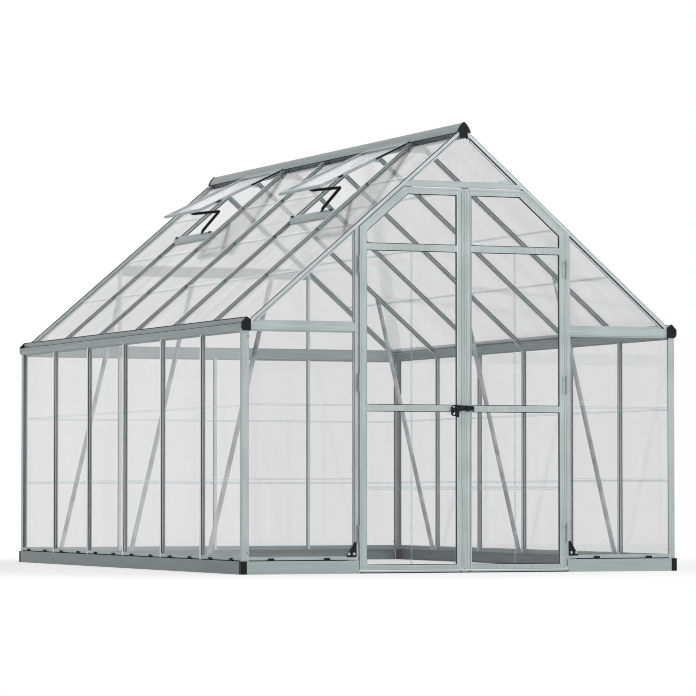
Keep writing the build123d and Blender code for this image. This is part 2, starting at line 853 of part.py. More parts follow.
with BuildPart() as rear_panels:
    sheet_y = gable_y(1, *sheet_band)
    add([loose_block(rear_sheet(i), sheet_y, row) for i in range(bays_wide) for row in rear_rows])
    gable_foot = rear_rail_high + edge_gap
    under_rafter = bar_wide + edge_gap
    inner_x = bay - web_edge
    block((-inner_x, inner_x), sheet_y, (gable_foot, collar_low - edge_gap))
    for side in (-1, 1):
        outer_x = bay + web_edge
        prism_y(
            [
                (side * outer_x, gable_foot),
                (side * roof_x(gable_foot, under_rafter), gable_foot),
                (side * outer_x, roof_z(outer_x, under_rafter)),
            ],
            sheet_y,
        )
    peak_foot = collar_high + edge_gap
    peak_z = ridge_low - edge_gap
    prism_y(
        [
            (-roof_x(peak_foot, under_rafter), peak_foot),
            (roof_x(peak_foot, under_rafter), peak_foot),
            (roof_x(peak_z, under_rafter), peak_z),
            (-roof_x(peak_z, under_rafter), peak_z),
        ],
        sheet_y,
    )
finish(rear_panels, "rear_panels")

with BuildPart() as front_panels:
    sheet_y = gable_y(-1, *sheet_band)
    gable_foot = front_rail_high + edge_gap
    outer_x = door_post_far + edge_gap
    for side in (-1, 1):
        for row in front_rows:
            block(mirrored(side, *front_sheet), sheet_y, row)
        prism_y(
            [
                (side * outer_x, gable_foot),
                (side * roof_x(gable_foot, under_rafter), gable_foot),
                (side * outer_x, roof_z(outer_x, under_rafter)),
            ],
            sheet_y,
        )
    peak_foot = header_high + edge_gap
    prism_y(
        [
            (-roof_x(peak_foot, under_rafter), peak_foot),
            (roof_x(peak_foot, under_rafter), peak_foot),
            (roof_x(peak_z, under_rafter), peak_z),
            (-roof_x(peak_z, under_rafter), peak_z),
        ],
        sheet_y,
    )
    for side in (-1, 1):
        notch = mirrored(side, gutter_near - edge_gap, face_x)
        block(notch, sheet_y, (gutter_low - edge_gap, front_rail_low), Mode.SUBTRACT)
finish(front_panels, "front_panels")

# Roof sheets: four down each slope in every bay, fewer where a vent opens
roof_edge = face_y - bar_deep - edge_gap


def roof_bay(start):
    """the width of a roof sheet, from web to web"""
    low = start + web_edge if start > -half_long else -roof_edge
    end = start + bay
    high = end - web_edge if end < half_long else roof_edge
    return (low, high)


def roof_rows(first):
    """stretches of sheet down the slope, starting at the given distance"""
    gap = (strip_web / 2 + joint_gap) / slant
    joints = [x for x in roof_joint_x if x > first]
    starts = [first] + [x + gap for x in joints]
    ends = [x - gap for x in joints] + [gutter_near - edge_gap]
    return list(zip(starts, ends))


vent_sheet_top = sill_bar_x + sill_bar_wide + edge_gap
for name, side in (("left_roof_panels", -1), ("right_roof_panels", 1)):
    with BuildPart() as roof_panels:
        for index, start in enumerate(bay_starts):
            vented = side < 0 and index in vent_bays
            first = vent_sheet_top if vented else ridge_half + edge_gap
            for stretch in roof_rows(first):
                slope_band(side, stretch, sheet_band, roof_bay(start))
    finish(roof_panels, name)

# Jointing strips: clear H sections that join one sheet to the next
strip_out = (sheet_in - slot_gap - strip_wall, sheet_in - slot_gap)
strip_in = (sheet_in + sheet_thick + slot_gap, sheet_in + sheet_thick + slot_gap + strip_wall)
strip_core = (strip_out[0], strip_in[1])
strip_end = 1.0


def shrink(span, by):
    """a range made shorter at both ends"""
    return (span[0] + by, span[1] - by)


strip_depths = (strip_out, strip_in, strip_core)
strip_halves = (strip_tall / 2, strip_tall / 2, strip_web / 2)


def wall_strip(x, y, z):
    """a level strip; its three plates have their own ranges across the wall"""
    plates = []
    for i, half in enumerate(strip_halves):
        plates.append(loose_block(x[i], y[i], (z - half, z + half)))
    return plates[0].fuse(*plates[1:])


def roof_strip(side, x, y):
    """a strip across the slope, at this distance from the middle"""
    plates = []
    for depth, half in zip(strip_depths, strip_halves):
        reach = half / slant
        plates.append(slope_band(side, (x - reach, x + reach), depth, y, Mode.PRIVATE))
    return plates[0].fuse(*plates[1:])


strips = []
for joint in range(1, sheet_rows):
    drop = edge_gap + sheet_row * joint
    for side in (-1, 1):
        depths = [wall_x(side, *depth) for depth in strip_depths]
        for start in bay_starts:
            along = shrink(side_bay(start), strip_end)
            strips.append(wall_strip(depths, [along] * 3, gutter_low - drop))
        depths = [gable_y(-1, *depth) for depth in strip_depths]
        along = mirrored(side, door_post_far + rib_tall + strip_end, post_edge_x - strip_end)
        strips.append(wall_strip([along] * 3, depths, front_rail_low - drop))
    depths = [gable_y(1, *depth) for depth in strip_depths]
    for index in range(bays_wide):
        along = shrink(rear_bay(index), strip_end)
        strips.append(wall_strip([along] * 3, depths, rear_rail_low - drop))
with BuildPart() as wall_strips:
    add(strips)
finish(wall_strips, "wall_strips")

strips = []
for side in (-1, 1):
    for index, start in enumerate(bay_starts):
        along = shrink(side_bay(start), strip_end)
        vented = side < 0 and index in vent_bays
        for x in roof_joint_x:
            if not (vented and x < vent_sheet_top):
                strips.append(roof_strip(side, x, along))
with BuildPart() as roof_strips:
    add(strips)
finish(roof_strips, "roof_strips")

# Vent sills: raised bars on the roof that close the top of the sheet below each vent
with BuildPart() as vent_sills:
    for index in vent_bays:
        across = shrink((bay_starts[index], bay_starts[index] + bay), bar_half + joint_gap)
        inner = (sill_bar_x, sill_bar_x + sill_bar_wide)
        slope_band(-1, inner, (-sill_bar_up, bar_wide), across)
        lip = (inner[1], inner[1] + rib_tall)
        for rib in (outer_rib, inner_rib):
            slope_band(-1, lip, rib, across)
finish(vent_sills, "vent_sills")

# Vents: framed sheets that hang from a round bead beside the ridge
vent_cos = math.cos(math.radians(vent_fall))
vent_sin = math.sin(math.radians(vent_fall))
vent_hinge_x = crown_half + joint_gap + vent_bead
vent_hinge_z = roof_z(vent_hinge_x) + vent_lift
vent_half = bay / 2 - bar_half - vent_side_gap
vent_sheet = (-vent_bar_deep / 2 - sheet_thick / 2, -vent_bar_deep / 2 + sheet_thick / 2)


def vent_plane(index):
    """plane of one vent: X down its length, Y across, Z out of its face"""
    return Plane(
        origin=(-vent_hinge_x, bay_starts[index] + bay / 2, vent_hinge_z),
        x_dir=(-vent_cos, 0, -vent_sin),
        z_dir=(-vent_sin, 0, vent_cos),
    )


def vent_point(down, up):
    """X and Z of a point on a vent, from its place along and out of the leaf"""
    x = -vent_hinge_x - down * vent_cos - up * vent_sin
    z = vent_hinge_z - down * vent_sin + up * vent_cos
    return (x, z)


inside_from = vent_neck + vent_bar_wide
inside_to = vent_long - vent_bar_wide
inside_half = vent_half - vent_bar_wide
with BuildPart() as vent_frames:
    for index in vent_bays:
        with Locations(vent_plane(index)):
            across = (-vent_half, vent_half)
            block((vent_neck, vent_long), across, (-vent_bar_deep, 0))
            block((0, vent_neck), across, (-vent_neck_half, vent_neck_half))
            with Locations((0, 0, 0)):
                Cylinder(vent_bead, 2 * vent_half, rotation=(90, 0, 0))
            inside_y = (-inside_half, inside_half)
            block((inside_from, inside_to), inside_y, (-vent_bar_deep, 0), Mode.SUBTRACT)
            slot_x = (inside_from - vent_slot_depth, inside_to + vent_slot_depth)
            slot_y = (-inside_half - vent_slot_depth, inside_half + vent_slot_depth)
            slot_z = (vent_sheet[0] - slot_gap, vent_sheet[1] + slot_gap)
            block(slot_x, slot_y, slot_z, Mode.SUBTRACT)
finish(vent_frames, "vent_frames")

with BuildPart() as vent_panels:
    for index in vent_bays:
        with Locations(vent_plane(index)):
            edge = vent_slot_depth - edge_gap
            block(
                (inside_from - edge, inside_to + edge),
                (-inside_half - edge, inside_half + edge),
                vent_sheet,
            )
finish(vent_panels, "vent_panels")

# Vent stays: a folded pair of flat legs between a foot on the sill and a lug on the leaf
foot_x = sill_bar_x + stay_foot_in
stay_elbow = (stay_elbow_x, roof_z(stay_elbow_x) + stay_elbow_up)
stay_foot = (-foot_x, roof_z(foot_x, -sill_bar_up) + stay_foot_up)
stay_head = vent_point(vent_long - vent_bar_wide / 2, -vent_bar_deep - stay_head_drop)
with BuildPart() as vent_stays:
    for index in vent_bays:
        y = bay_starts[index] + stay_y
        for start, end, near in (
            (stay_foot, stay_elbow, -stay_thick),
            (stay_elbow, stay_head, 0),
        ):
            middle = ((start[0] + end[0]) / 2, (start[1] + end[1]) / 2)
            length = math.dist(start, end)
            lean = math.degrees(math.atan2(end[1] - start[1], end[0] - start[0]))
            with BuildSketch(Plane.XZ.offset(-(y + near + stay_thick))):
                with Locations(Location(middle, lean)):
                    SlotCenterToCenter(length, stay_wide)
            extrude(amount=stay_thick)
        for pivot in (stay_foot, stay_elbow, stay_head):
            reach = stay_thick + stay_pivot_proud
            with BuildSketch(Plane.XZ.offset(-(y + reach))):
                with Locations(pivot):
                    Circle(stay_pivot)
            extrude(amount=2 * reach)
        pad_x = (sill_bar_x + stay_pad_run[0], sill_bar_x + stay_pad_run[1])
        pad_depth = (-sill_bar_up - stay_pad_tall, -sill_bar_up - joint_gap)
        slope_band(-1, pad_x, pad_depth, (y - stay_pad_half, y + stay_pad_half))
        with Locations(vent_plane(index)):
            lug_x = (vent_long - vent_bar_wide, vent_long - stay_lug_end)
            lug_y = bay / 2 - stay_y
            lug_z = (-vent_bar_deep - stay_lug_tall, -vent_bar_deep - joint_gap)
            block(lug_x, (lug_y - stay_pad_half, lug_y + stay_pad_half), lug_z)
finish(vent_stays, "vent_stays")

# Post side of the hinges: plate, two knuckles on arms, and the pin
knuckle = (hinge_tall - 2 * knuckle_gap) / 3
hinge_lows = [z - hinge_tall / 2 for z in hinge_heights]


def hinge_round_bar(side, radius, low, high, mode=Mode.ADD):
    """a round bar on the hinge's axis"""
    with Locations((side * hinge_x, -hinge_y, (low + high) / 2)):
        Cylinder(radius, high - low, mode=mode)


with BuildPart() as post_hinges:
    for side in (-1, 1):
        for low in hinge_lows:
            high = low + hinge_tall
            plate_y = (-face_y - hinge_leaf_thick, -face_y)
            plate_x = mirrored(side, door_post_near + hinge_plate_gap, gusset_near - hinge_plate_gap)
            block(plate_x, plate_y, (low, high))
            for start in (low, high - knuckle):
                arm_x = mirrored(side, hinge_x + hinge_round - hinge_arm, hinge_x + hinge_round)
                block(arm_x, (-hinge_y, -face_y - hinge_leaf_thick), (start, start + knuckle))
                hinge_round_bar(side, hinge_round, start, start + knuckle)
            hinge_round_bar(side, pin_round, low - pin_drop, high)
finish(post_hinges, "post_hinges")


# Door leaves: mitred frames with a slanted upper corner, three rails and sheet slots
def leaf_outline(inset):
    """outline of a leaf, this far inside its edges, for the leaf on the right"""
    slant_depth = bar_wide + leaf_clear + inset
    near, far = leaf_seam + inset, leaf_edge - inset
    low, high = leaf_low + inset, leaf_high - inset
    return [
        (near, low),
        (far, low),
        (far, roof_z(far, slant_depth)),
        (roof_x(high, slant_depth), high),
        (near, high),
    ]


def on_side(side, outline):
    """an outline moved to one side of the middle"""
    return [(side * x, z) for x, z in outline]


leaf_back = leaf_front - leaf_thick
sheet_mid = (leaf_front + leaf_back) / 2
slant_in = bar_wide + leaf_clear + slant_wide
glass_near, glass_far = leaf_seam + stile_wide, leaf_edge - stile_wide
light_rows = ((foot_rail_high, lock_rail[0]), (lock_rail[1], upper_rail[0]))


def upper_light(grow):
    """the outline of the opening above the upper rail, grown by this much"""
    low, high = upper_rail[1] - grow, top_rail_low + grow
    near, far = glass_near - grow, glass_far + grow
    depth = slant_in - grow
    return [
        (near, low),
        (far, low),
        (far, roof_z(far, depth)),
        (roof_x(high, depth), high),
        (near, high),
    ]


for name, side in (("left_door_frame", -1), ("right_door_frame", 1)):
    with BuildPart() as leaf:
        prism_y(on_side(side, leaf_outline(0)), (-leaf_front, -leaf_back))
        through = (-leaf_front, -leaf_back)
        slot_y = (-sheet_mid - sheet_thick / 2 - slot_gap, -sheet_mid + sheet_thick / 2 + slot_gap)
        for grow, y in ((0, through), (leaf_slot, slot_y)):
            for low, high in light_rows:
                span = mirrored(side, glass_near - grow, glass_far + grow)
                block(span, y, (low - grow, high + grow), Mode.SUBTRACT)
            prism_y(on_side(side, upper_light(grow)), y, Mode.SUBTRACT)
        groove_y = (-leaf_front, -leaf_front + leaf_groove_deep)
        with BuildSketch(Plane.XZ.offset(-groove_y[1])) as ring:
            with BuildLine():
                Polyline(*on_side(side, leaf_outline(leaf_groove_in)), close=True)
            make_face()
            with BuildLine():
                inner = leaf_outline(leaf_groove_in + leaf_groove_wide)
                Polyline(*on_side(side, inner), close=True)
            make_face(mode=Mode.SUBTRACT)
        extrude(amount=leaf_groove_deep, mode=Mode.SUBTRACT)
    finish(leaf, name)

# Door sheets, with clear strips that join their four lower pieces
leaf_sheet_y = (-sheet_mid - sheet_thick / 2, -sheet_mid + sheet_thick / 2)
tuck = leaf_slot - edge_gap
joint = strip_web / 2 + joint_gap
for name, side in (("left_door_panels", -1), ("right_door_panels", 1)):
    with BuildPart() as leaf_panels:
        columns = ((glass_near - tuck, leaf_joint_x - joint), (leaf_joint_x + joint, glass_far + tuck))
        rows = (
            (foot_rail_high - tuck, leaf_joint_z - joint),
            (leaf_joint_z + joint, lock_rail[0] + tuck),
            (lock_rail[1] - tuck, upper_rail[0] + tuck),
        )
        for column in columns:
            for row in rows:
                block(mirrored(side, *column), leaf_sheet_y, row)
        prism_y(on_side(side, upper_light(tuck)), leaf_sheet_y)
    finish(leaf_panels, name)

strip_y_out = (leaf_sheet_y[0] - slot_gap - strip_wall, leaf_sheet_y[0] - slot_gap)
strip_y_in = (leaf_sheet_y[1] + slot_gap, leaf_sheet_y[1] + slot_gap + strip_wall)
strip_y = (strip_y_out, strip_y_in, (strip_y_out[0], strip_y_in[1]))
for name, side in (("left_door_strips", -1), ("right_door_strips", 1)):
    with BuildPart() as leaf_strips:
        for low, high in light_rows:
            tall = shrink((low, high), strip_end)
            for y, half in zip(strip_y, strip_halves):
                block(mirrored(side, leaf_joint_x - half, leaf_joint_x + half), y, tall)
        span = shrink((glass_near, glass_far), strip_end)
        for y, half in zip(strip_y, (leaf_strip_tall / 2, leaf_strip_tall / 2, strip_web / 2)):
            block(mirrored(side, *span), y, (leaf_joint_z - half, leaf_joint_z + half))
    finish(leaf_strips, name)

# Leaf side of the hinges: plate and middle knuckle, bored for the pin
for name, side in (("left_door_hinges", -1), ("right_door_hinges", 1)):
    with BuildPart() as leaf_hinges:
        for low in hinge_lows:
            high = low + hinge_tall
            start = low + knuckle + knuckle_gap
            plate_x = mirrored(side, *[leaf_edge - inset for inset in hinge_plate_in])
            block(plate_x, (-leaf_front - hinge_leaf_thick, -leaf_front), (low, high))
            arm_x = mirrored(side, hinge_x - hinge_round - pin_drop, hinge_x - hinge_round + hinge_arm)
            block(arm_x, (-hinge_y, -leaf_front), (start, start + knuckle))
            hinge_round_bar(side, hinge_round, start, start + knuckle)
            hinge_round_bar(side, pin_round + pin_gap, start, start + knuckle, Mode.SUBTRACT)
    finish(leaf_hinges, name)

# Latch on the left leaf: body, ring for a padlock, spike and the handle's arm
latch_back = -leaf_front
with BuildPart() as door_latch:
    with BuildSketch(Plane.XZ.offset(-latch_back)) as plate:
        with BuildLine():
            seam_side = [(-leaf_seam - latch_gap, latch_low), (-leaf_seam - latch_gap, latch_high)]
            Polyline(*seam_side, *latch_body, *latch_spike, close=True)
        make_face()
        with Locations(latch_ring[0]):
            Circle(latch_ring[1], mode=Mode.SUBTRACT)
    extrude(amount=latch_proud)
    boss_at, boss_radius, boss_tall = latch_boss
    with Locations((boss_at[0], latch_back - latch_proud, boss_at[1])):
        Cylinder(boss_radius, boss_tall, rotation=(90, 0, 0))
finish(door_latch, "door_latch")

with BuildPart() as door_catch:
    with BuildSketch(Plane.XZ.offset(-latch_back)) as plate:
        with BuildLine():
            seam_side = [(leaf_seam + latch_gap, latch_low), (leaf_seam + latch_gap, latch_high)]
            Polyline(*seam_side, *catch_arm, close=True)
        make_face()
    extrude(amount=latch_proud)
finish(door_catch, "door_catch")
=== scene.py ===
import math

import bpy
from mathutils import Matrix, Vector


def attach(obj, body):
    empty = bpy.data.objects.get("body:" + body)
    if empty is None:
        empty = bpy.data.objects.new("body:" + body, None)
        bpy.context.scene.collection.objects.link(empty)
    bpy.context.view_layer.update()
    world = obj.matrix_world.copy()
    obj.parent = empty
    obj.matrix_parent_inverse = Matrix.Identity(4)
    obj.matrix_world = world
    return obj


# A walk-in greenhouse of aluminium bars and clear sheets, with a pitched roof, two roof vents
# propped open and a pair of hinged doors. Metres, +Z up, front gable towards -Y.
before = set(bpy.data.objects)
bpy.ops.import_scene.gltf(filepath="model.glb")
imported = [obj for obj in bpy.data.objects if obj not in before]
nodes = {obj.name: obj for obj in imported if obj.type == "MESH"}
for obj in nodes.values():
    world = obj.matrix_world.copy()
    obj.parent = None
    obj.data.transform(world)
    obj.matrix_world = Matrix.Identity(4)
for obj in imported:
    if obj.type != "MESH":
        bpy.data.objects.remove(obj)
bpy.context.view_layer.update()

# Camera: a long lens off the front left corner, at knee height, tipped up a little
CAMERA_HEADING = math.radians(22.606)
CAMERA_TIP = math.radians(2.206)
CAMERA_PLACE = (-7.95635, -19.38785, 0.41606)
LENS_MM = 193.12
SENSOR_MM = 36
camera_data = bpy.data.cameras.new("camera")
camera_data.sensor_width = SENSOR_MM
camera_data.lens = LENS_MM
camera_data.clip_end = 400
camera = bpy.data.objects.new("camera", camera_data)
camera.location = CAMERA_PLACE
camera.rotation_euler = (math.radians(90) + CAMERA_TIP, 0, -CAMERA_HEADING)
bpy.context.scene.collection.objects.link(camera)
bpy.context.scene.camera = camera

# Studio: a white surround that is brightest towards the front right, and a broad soft lamp there.
# Rays that reach the surround straight, in a mirror or through glass see plain white.
scene = bpy.context.scene
scene.view_settings.view_transform = "Standard"
scene.cycles.transparent_max_bounces = 48
scene.cycles.filter_width = 1.0


def add_node(tree, kind, inputs=None, **settings):
    """adds a node to a tree; an input is a value, or a socket to link from"""
    made = tree.nodes.new(kind)
    for key, value in settings.items():
        setattr(made, key, value)
    for key, value in (inputs or {}).items():
        if isinstance(value, bpy.types.NodeSocket):
            tree.links.new(value, made.inputs[key])
        else:
            made.inputs[key].default_value = value
    return made


def rays_that_look(tree):
    """gives 1 for rays from the camera, off a mirror or through glass, and 0 for the rest"""
    path = add_node(tree, "ShaderNodeLightPath")
    mirrored = add_node(
        tree,
        "ShaderNodeMath",
        {0: path.outputs["Is Camera Ray"], 1: path.outputs["Is Glossy Ray"]},
        operation="MAXIMUM",
    )
    return add_node(
        tree,
        "ShaderNodeMath",
        {0: mirrored.outputs[0], 1: path.outputs["Is Transmission Ray"]},
        operation="MAXIMUM",
    )


world = bpy.data.worlds.new("studio")
world.use_nodes = True
scene.world = world
sky = world.node_tree
sky.nodes.clear()
way = add_node(sky, "ShaderNodeTexCoord")
LIT_FROM = Vector((0.55, -0.62, 0.56))
SHADE_LEVEL, LIGHT_LEVEL = 0.14, 0.95
toward = add_node(
    sky, "ShaderNodeVectorMath", {0: way.outputs["Generated"], 1: LIT_FROM}, operation="DOT_PRODUCT"
)
lit = add_node(
    sky,
    "ShaderNodeMapRange",
    {0: toward.outputs["Value"], 1: -0.6, 2: 0.9, 3: SHADE_LEVEL, 4: LIGHT_LEVEL},
    interpolation_type="SMOOTHSTEP",
)
seen = rays_that_look(sky)
strength = add_node(sky, "ShaderNodeMix", {0: seen.outputs[0], 2: lit.outputs[0], 3: 1.0})
surround = add_node(sky, "ShaderNodeBackground", {0: (1, 1, 1, 1), 1: strength.outputs[0]})
add_node(sky, "ShaderNodeOutputWorld", {0: surround.outputs[0]})

LAMP_WIDE, LAMP_TALL = 7, 5
LAMP_WATTS = 270
LAMP_PLACE = (4.5, -9.5, 7.0)
LAMP_AIM = Vector((0, 0, 1))
lamp_data = bpy.data.lights.new("key_lamp", "AREA")
lamp_data.shape = "RECTANGLE"
lamp_data.size = LAMP_WIDE
lamp_data.size_y = LAMP_TALL
lamp_data.energy = LAMP_WATTS
lamp = bpy.data.objects.new("key_lamp", lamp_data)
lamp.location = LAMP_PLACE
lamp.rotation_euler = (LAMP_AIM - lamp.location).to_track_quat("-Z", "Y").to_euler()
scene.collection.objects.link(lamp)


# Floor: matt white studio paper that keeps the shadow near the greenhouse and glows an even white
# far away. Close by, part of the same glow keeps the shadow light.
def paint(code):
    """an sRGB hex colour as linear values"""
    values = [int(code[i : i + 2], 16) / 255 for i in (1, 3, 5)]
    linear = [v / 12.92 if v <= 0.04045 else ((v + 0.055) / 1.055) ** 2.4 for v in values]
    return (*linear, 1.0)


def new_material(name):
    """an empty node material and its tree"""
    made = bpy.data.materials.new(name)
    made.use_nodes = True
    made.node_tree.nodes.clear()
    return made, made.node_tree


SHADOW_REACH, WHITE_REACH = 2.2, 3.6
GLOW_NEAR = 0.62
floor_material, tree = new_material("matt_white_studio_paper")
spot = add_node(tree, "ShaderNodeTexCoord")
reach = add_node(tree, "ShaderNodeVectorMath", {0: spot.outputs["Object"]}, operation="LENGTH")
far = add_node(
    tree,
    "ShaderNodeMapRange",
    {0: reach.outputs["Value"], 1: SHADOW_REACH, 2: WHITE_REACH, 3: GLOW_NEAR, 4: 1.0},
    interpolation_type="SMOOTHSTEP",
)
paper = add_node(tree, "ShaderNodeBsdfDiffuse", {0: paint("#FAFAFA")})
glow = add_node(tree, "ShaderNodeEmission", {0: (1, 1, 1, 1), 1: 1.0})
seen = rays_that_look(tree)
share = add_node(tree, "ShaderNodeMath", {0: seen.outputs[0], 1: far.outputs[0]}, operation="MULTIPLY")
mixed = add_node(
    tree, "ShaderNodeMixShader", {0: share.outputs[0], 1: paper.outputs[0], 2: glow.outputs[0]}
)
add_node(tree, "ShaderNodeOutputMaterial", {0: mixed.outputs[0]})

FLOOR_REACH = 150
FLOOR_DROP = -0.0005
corners = [(-1, -1), (1, -1), (1, 1), (-1, 1)]
floor_mesh = bpy.data.meshes.new("floor")
floor_mesh.from_pydata(
    [(x * FLOOR_REACH, y * FLOOR_REACH, FLOOR_DROP) for x, y in corners], [], [(0, 1, 2, 3)]
)
floor_mesh.materials.append(floor_material)
floor = bpy.data.objects.new("floor", floor_mesh)
scene.collection.objects.link(floor)


# Base rails: a folded channel of galvanised steel along each side, joined by moulded corner pieces.
# Zinc gives a dull pale grey with fine rolling lines; the side rails are toned darker as painted shade.
LINE_DEPTH = 0.00006


def wear_metal(name, light, dark, grain, roughness, metallic):
    """a metal whose fine lines run the way its grain is stretched; grain is lines per metre"""
    made, tree = new_material(name)
    place = add_node(tree, "ShaderNodeTexCoord")
    lined = add_node(
        tree,
        "ShaderNodeMapping",
        {0: place.outputs["Object"], "Scale": grain},
    )
    lines = add_node(tree, "ShaderNodeTexNoise", {"Vector": lined.outputs[0], "Scale": 1.0, "Detail": 2.0})
    cloud = add_node(
        tree,
        "ShaderNodeTexNoise",
        {"Vector": place.outputs["Object"], "Scale": 5.0, "Detail": 3.0, "Roughness": 0.55},
    )
    both = add_node(
        tree, "ShaderNodeMath", {0: lines.outputs[0], 1: 0.55, 2: 0.0}, operation="MULTIPLY_ADD"
    )
    both = add_node(
        tree, "ShaderNodeMath", {0: cloud.outputs[0], 1: 0.45, 2: both.outputs[0]}, operation="MULTIPLY_ADD"
    )
    spread = add_node(tree, "ShaderNodeMapRange", {0: both.outputs[0], 1: 0.36, 2: 0.64})
    colour = add_node(
        tree,
        "ShaderNodeMix",
        {0: spread.outputs[0], 6: paint(dark), 7: paint(light)},
        data_type="RGBA",
    )
    rough = add_node(
        tree,
        "ShaderNodeMapRange",
        {0: cloud.outputs[0], 1: 0.3, 2: 0.7, 3: roughness - 0.06, 4: roughness + 0.06},
    )
    relief = add_node(
        tree, "ShaderNodeBump", {"Height": lines.outputs[0], "Strength": 0.5, "Distance": LINE_DEPTH}
    )
    metal = add_node(
        tree,
        "ShaderNodeBsdfPrincipled",
        {
            "Base Color": colour.outputs[2],
            "Metallic": metallic,
            "Roughness": rough.outputs[0],
            "Normal": relief.outputs[0],
        },
    )
    add_node(tree, "ShaderNodeOutputMaterial", {0: metal.outputs[0]})
    return made


def dress(names, material):
    """gives CAD nodes their finished material"""
    for name in names:
        for holder in nodes[name].material_slots:
            holder.material = material


zinc_x = wear_metal("galvanised_steel_along_x", "#A6B2B2", "#98A4A4", (3, 160, 160), 0.5, 0.25)
zinc_y_painted_shade = wear_metal("galvanised_steel_along_y_painted_shade", "#929C9C", "#828C8C", (160, 3, 160), 0.5, 0.25)
dress(["base_front", "base_rear"], zinc_x)
dress(["base_left", "base_right"], zinc_y_painted_shade)


# Moulded pieces: base corners, gutter and ridge caps, post gussets, vent stays, latch and catch.
# Black polypropylene from a spark-eroded mould, so dull, with a fine even grain.
GRAIN_DEPTH = 0.0003


def moulded_black(name, colour, roughness, grit):
    """moulded plastic with a fine sparked texture; grit is grains per metre"""
    made, tree = new_material(name)
    place = add_node(tree, "ShaderNodeTexCoord")
    grain = add_node(
        tree, "ShaderNodeTexNoise", {"Vector": place.outputs["Object"], "Scale": grit, "Detail": 3.0}
    )
    cloud = add_node(tree, "ShaderNodeTexNoise", {"Vector": place.outputs["Object"], "Scale": 14.0})
    shade = add_node(
        tree,
        "ShaderNodeMix",
        {0: cloud.outputs[0], 6: paint(colour), 7: paint("#1B1E1F")},
        data_type="RGBA",
    )
    rough = add_node(
        tree,
        "ShaderNodeMapRange",
        {0: grain.outputs[0], 3: roughness - 0.08, 4: roughness + 0.08},
    )
    relief = add_node(
        tree, "ShaderNodeBump", {"Height": grain.outputs[0], "Strength": 0.4, "Distance": GRAIN_DEPTH}
    )
    plastic = add_node(
        tree,
        "ShaderNodeBsdfPrincipled",
        {
            "Base Color": shade.outputs[2],
            "Roughness": rough.outputs[0],
            "Normal": relief.outputs[0],
            "Specular IOR Level": 0.18,
        },
    )
    add_node(tree, "ShaderNodeOutputMaterial", {0: plastic.outputs[0]})
    return made


black_plastic = moulded_black("moulded_black_polypropylene", "#0D0F10", 0.48, 900)
dress(
    [
        "base_corners",
        "gutter_caps",
        "ridge_caps",
        "door_post_gussets",
        "vent_stays",
        "door_latch",
        "door_catch",
    ],
    black_plastic,
)

# Aluminium bars: extruded, cut to length and left in mill finish, then bolted together.
# The die leaves fine lines along each bar; they are drawn about 5 mm apart, coarser than real.
# Each group has its own tone, for the light that it stands in: painted light on the sloped rafters, glazing
# bars and gable rafters, painted shade on the gutters and ridge and a little on the lengthwise bars.
DIE_LINES = 220
ALONG = 4
bar_upright = wear_metal(
    "mill_aluminium_upright", "#B9C3C2", "#A3AFAE", (DIE_LINES, DIE_LINES, ALONG), 0.36, 0.35
)
bar_across = wear_metal(
    "mill_aluminium_across", "#B9C3C2", "#A3AFAE", (ALONG, DIE_LINES, DIE_LINES), 0.36, 0.35
)
bar_lengthwise = wear_metal(
    "mill_aluminium_lengthwise", "#B4BFBF", "#9DA9A9", (DIE_LINES, ALONG, DIE_LINES), 0.36, 0.35
)
# painted light: the roof rafters are toned much lighter, to lift their shaded undersides
bar_sloped_painted_light = wear_metal(
    "mill_aluminium_sloped_painted_light", "#E6ECEB", "#CFD8D7", (DIE_LINES / 3, DIE_LINES, DIE_LINES / 3), 0.36, 0.35
)
dress(["corner_posts", "door_posts", "post_hinges"], bar_upright)
# painted light: the wall glazing bars are toned lighter, so their flanges read light in the shade
bar_glazing_painted_light = wear_metal(
    "mill_aluminium_glazing_bar_painted_light", "#F1F5F4", "#DCE4E3", (DIE_LINES, DIE_LINES, ALONG), 0.34, 0.3
)
dress(["side_mullions", "rear_mullions"], bar_glazing_painted_light)
tube_bright = wear_metal("mill_aluminium_tube", "#DDE3E2", "#8F9A9A", (9, 9, 9), 0.3, 0.35)
dress(["roof_struts"], tube_bright)
dress(["left_door_frame", "right_door_frame", "left_door_hinges", "right_door_hinges"], bar_upright)
dress(["door_threshold", "front_eave_rails", "rear_eave_rail", "door_header", "collar_bar"], bar_across)
dress(["sill_rails", "vent_sills", "vent_frames"], bar_lengthwise)
# painted shade: the gutters and ridge are toned darker, for faces turned away from the lamp
gutter_painted_shade = wear_metal(
    "mill_aluminium_gutter_painted_shade", "#A4AFAF", "#8A9595", (DIE_LINES, ALONG, DIE_LINES), 0.4, 0.3
)
dress(["left_gutter", "right_gutter", "ridge_beam"], gutter_painted_shade)
dress(["roof_rafters", "ridge_plates"], bar_sloped_painted_light)
# painted light: the gable rafters are toned lighter than the upright bars
bar_gable_painted_light = wear_metal(
    "mill_aluminium_gable_rafter_painted_light", "#C9D2D1", "#B4BFBE", (DIE_LINES / 3, DIE_LINES, DIE_LINES / 3), 0.36, 0.35
)
dress(["front_rafters", "rear_rafters"], bar_gable_painted_light)


# Sheets: clear polycarbonate, extruded flat and slid into the slots of the bars.
# Each face takes a little light away, so two sheets give the pale grey; steep faces mirror more.
FLOW_DEPTH = 0.0004


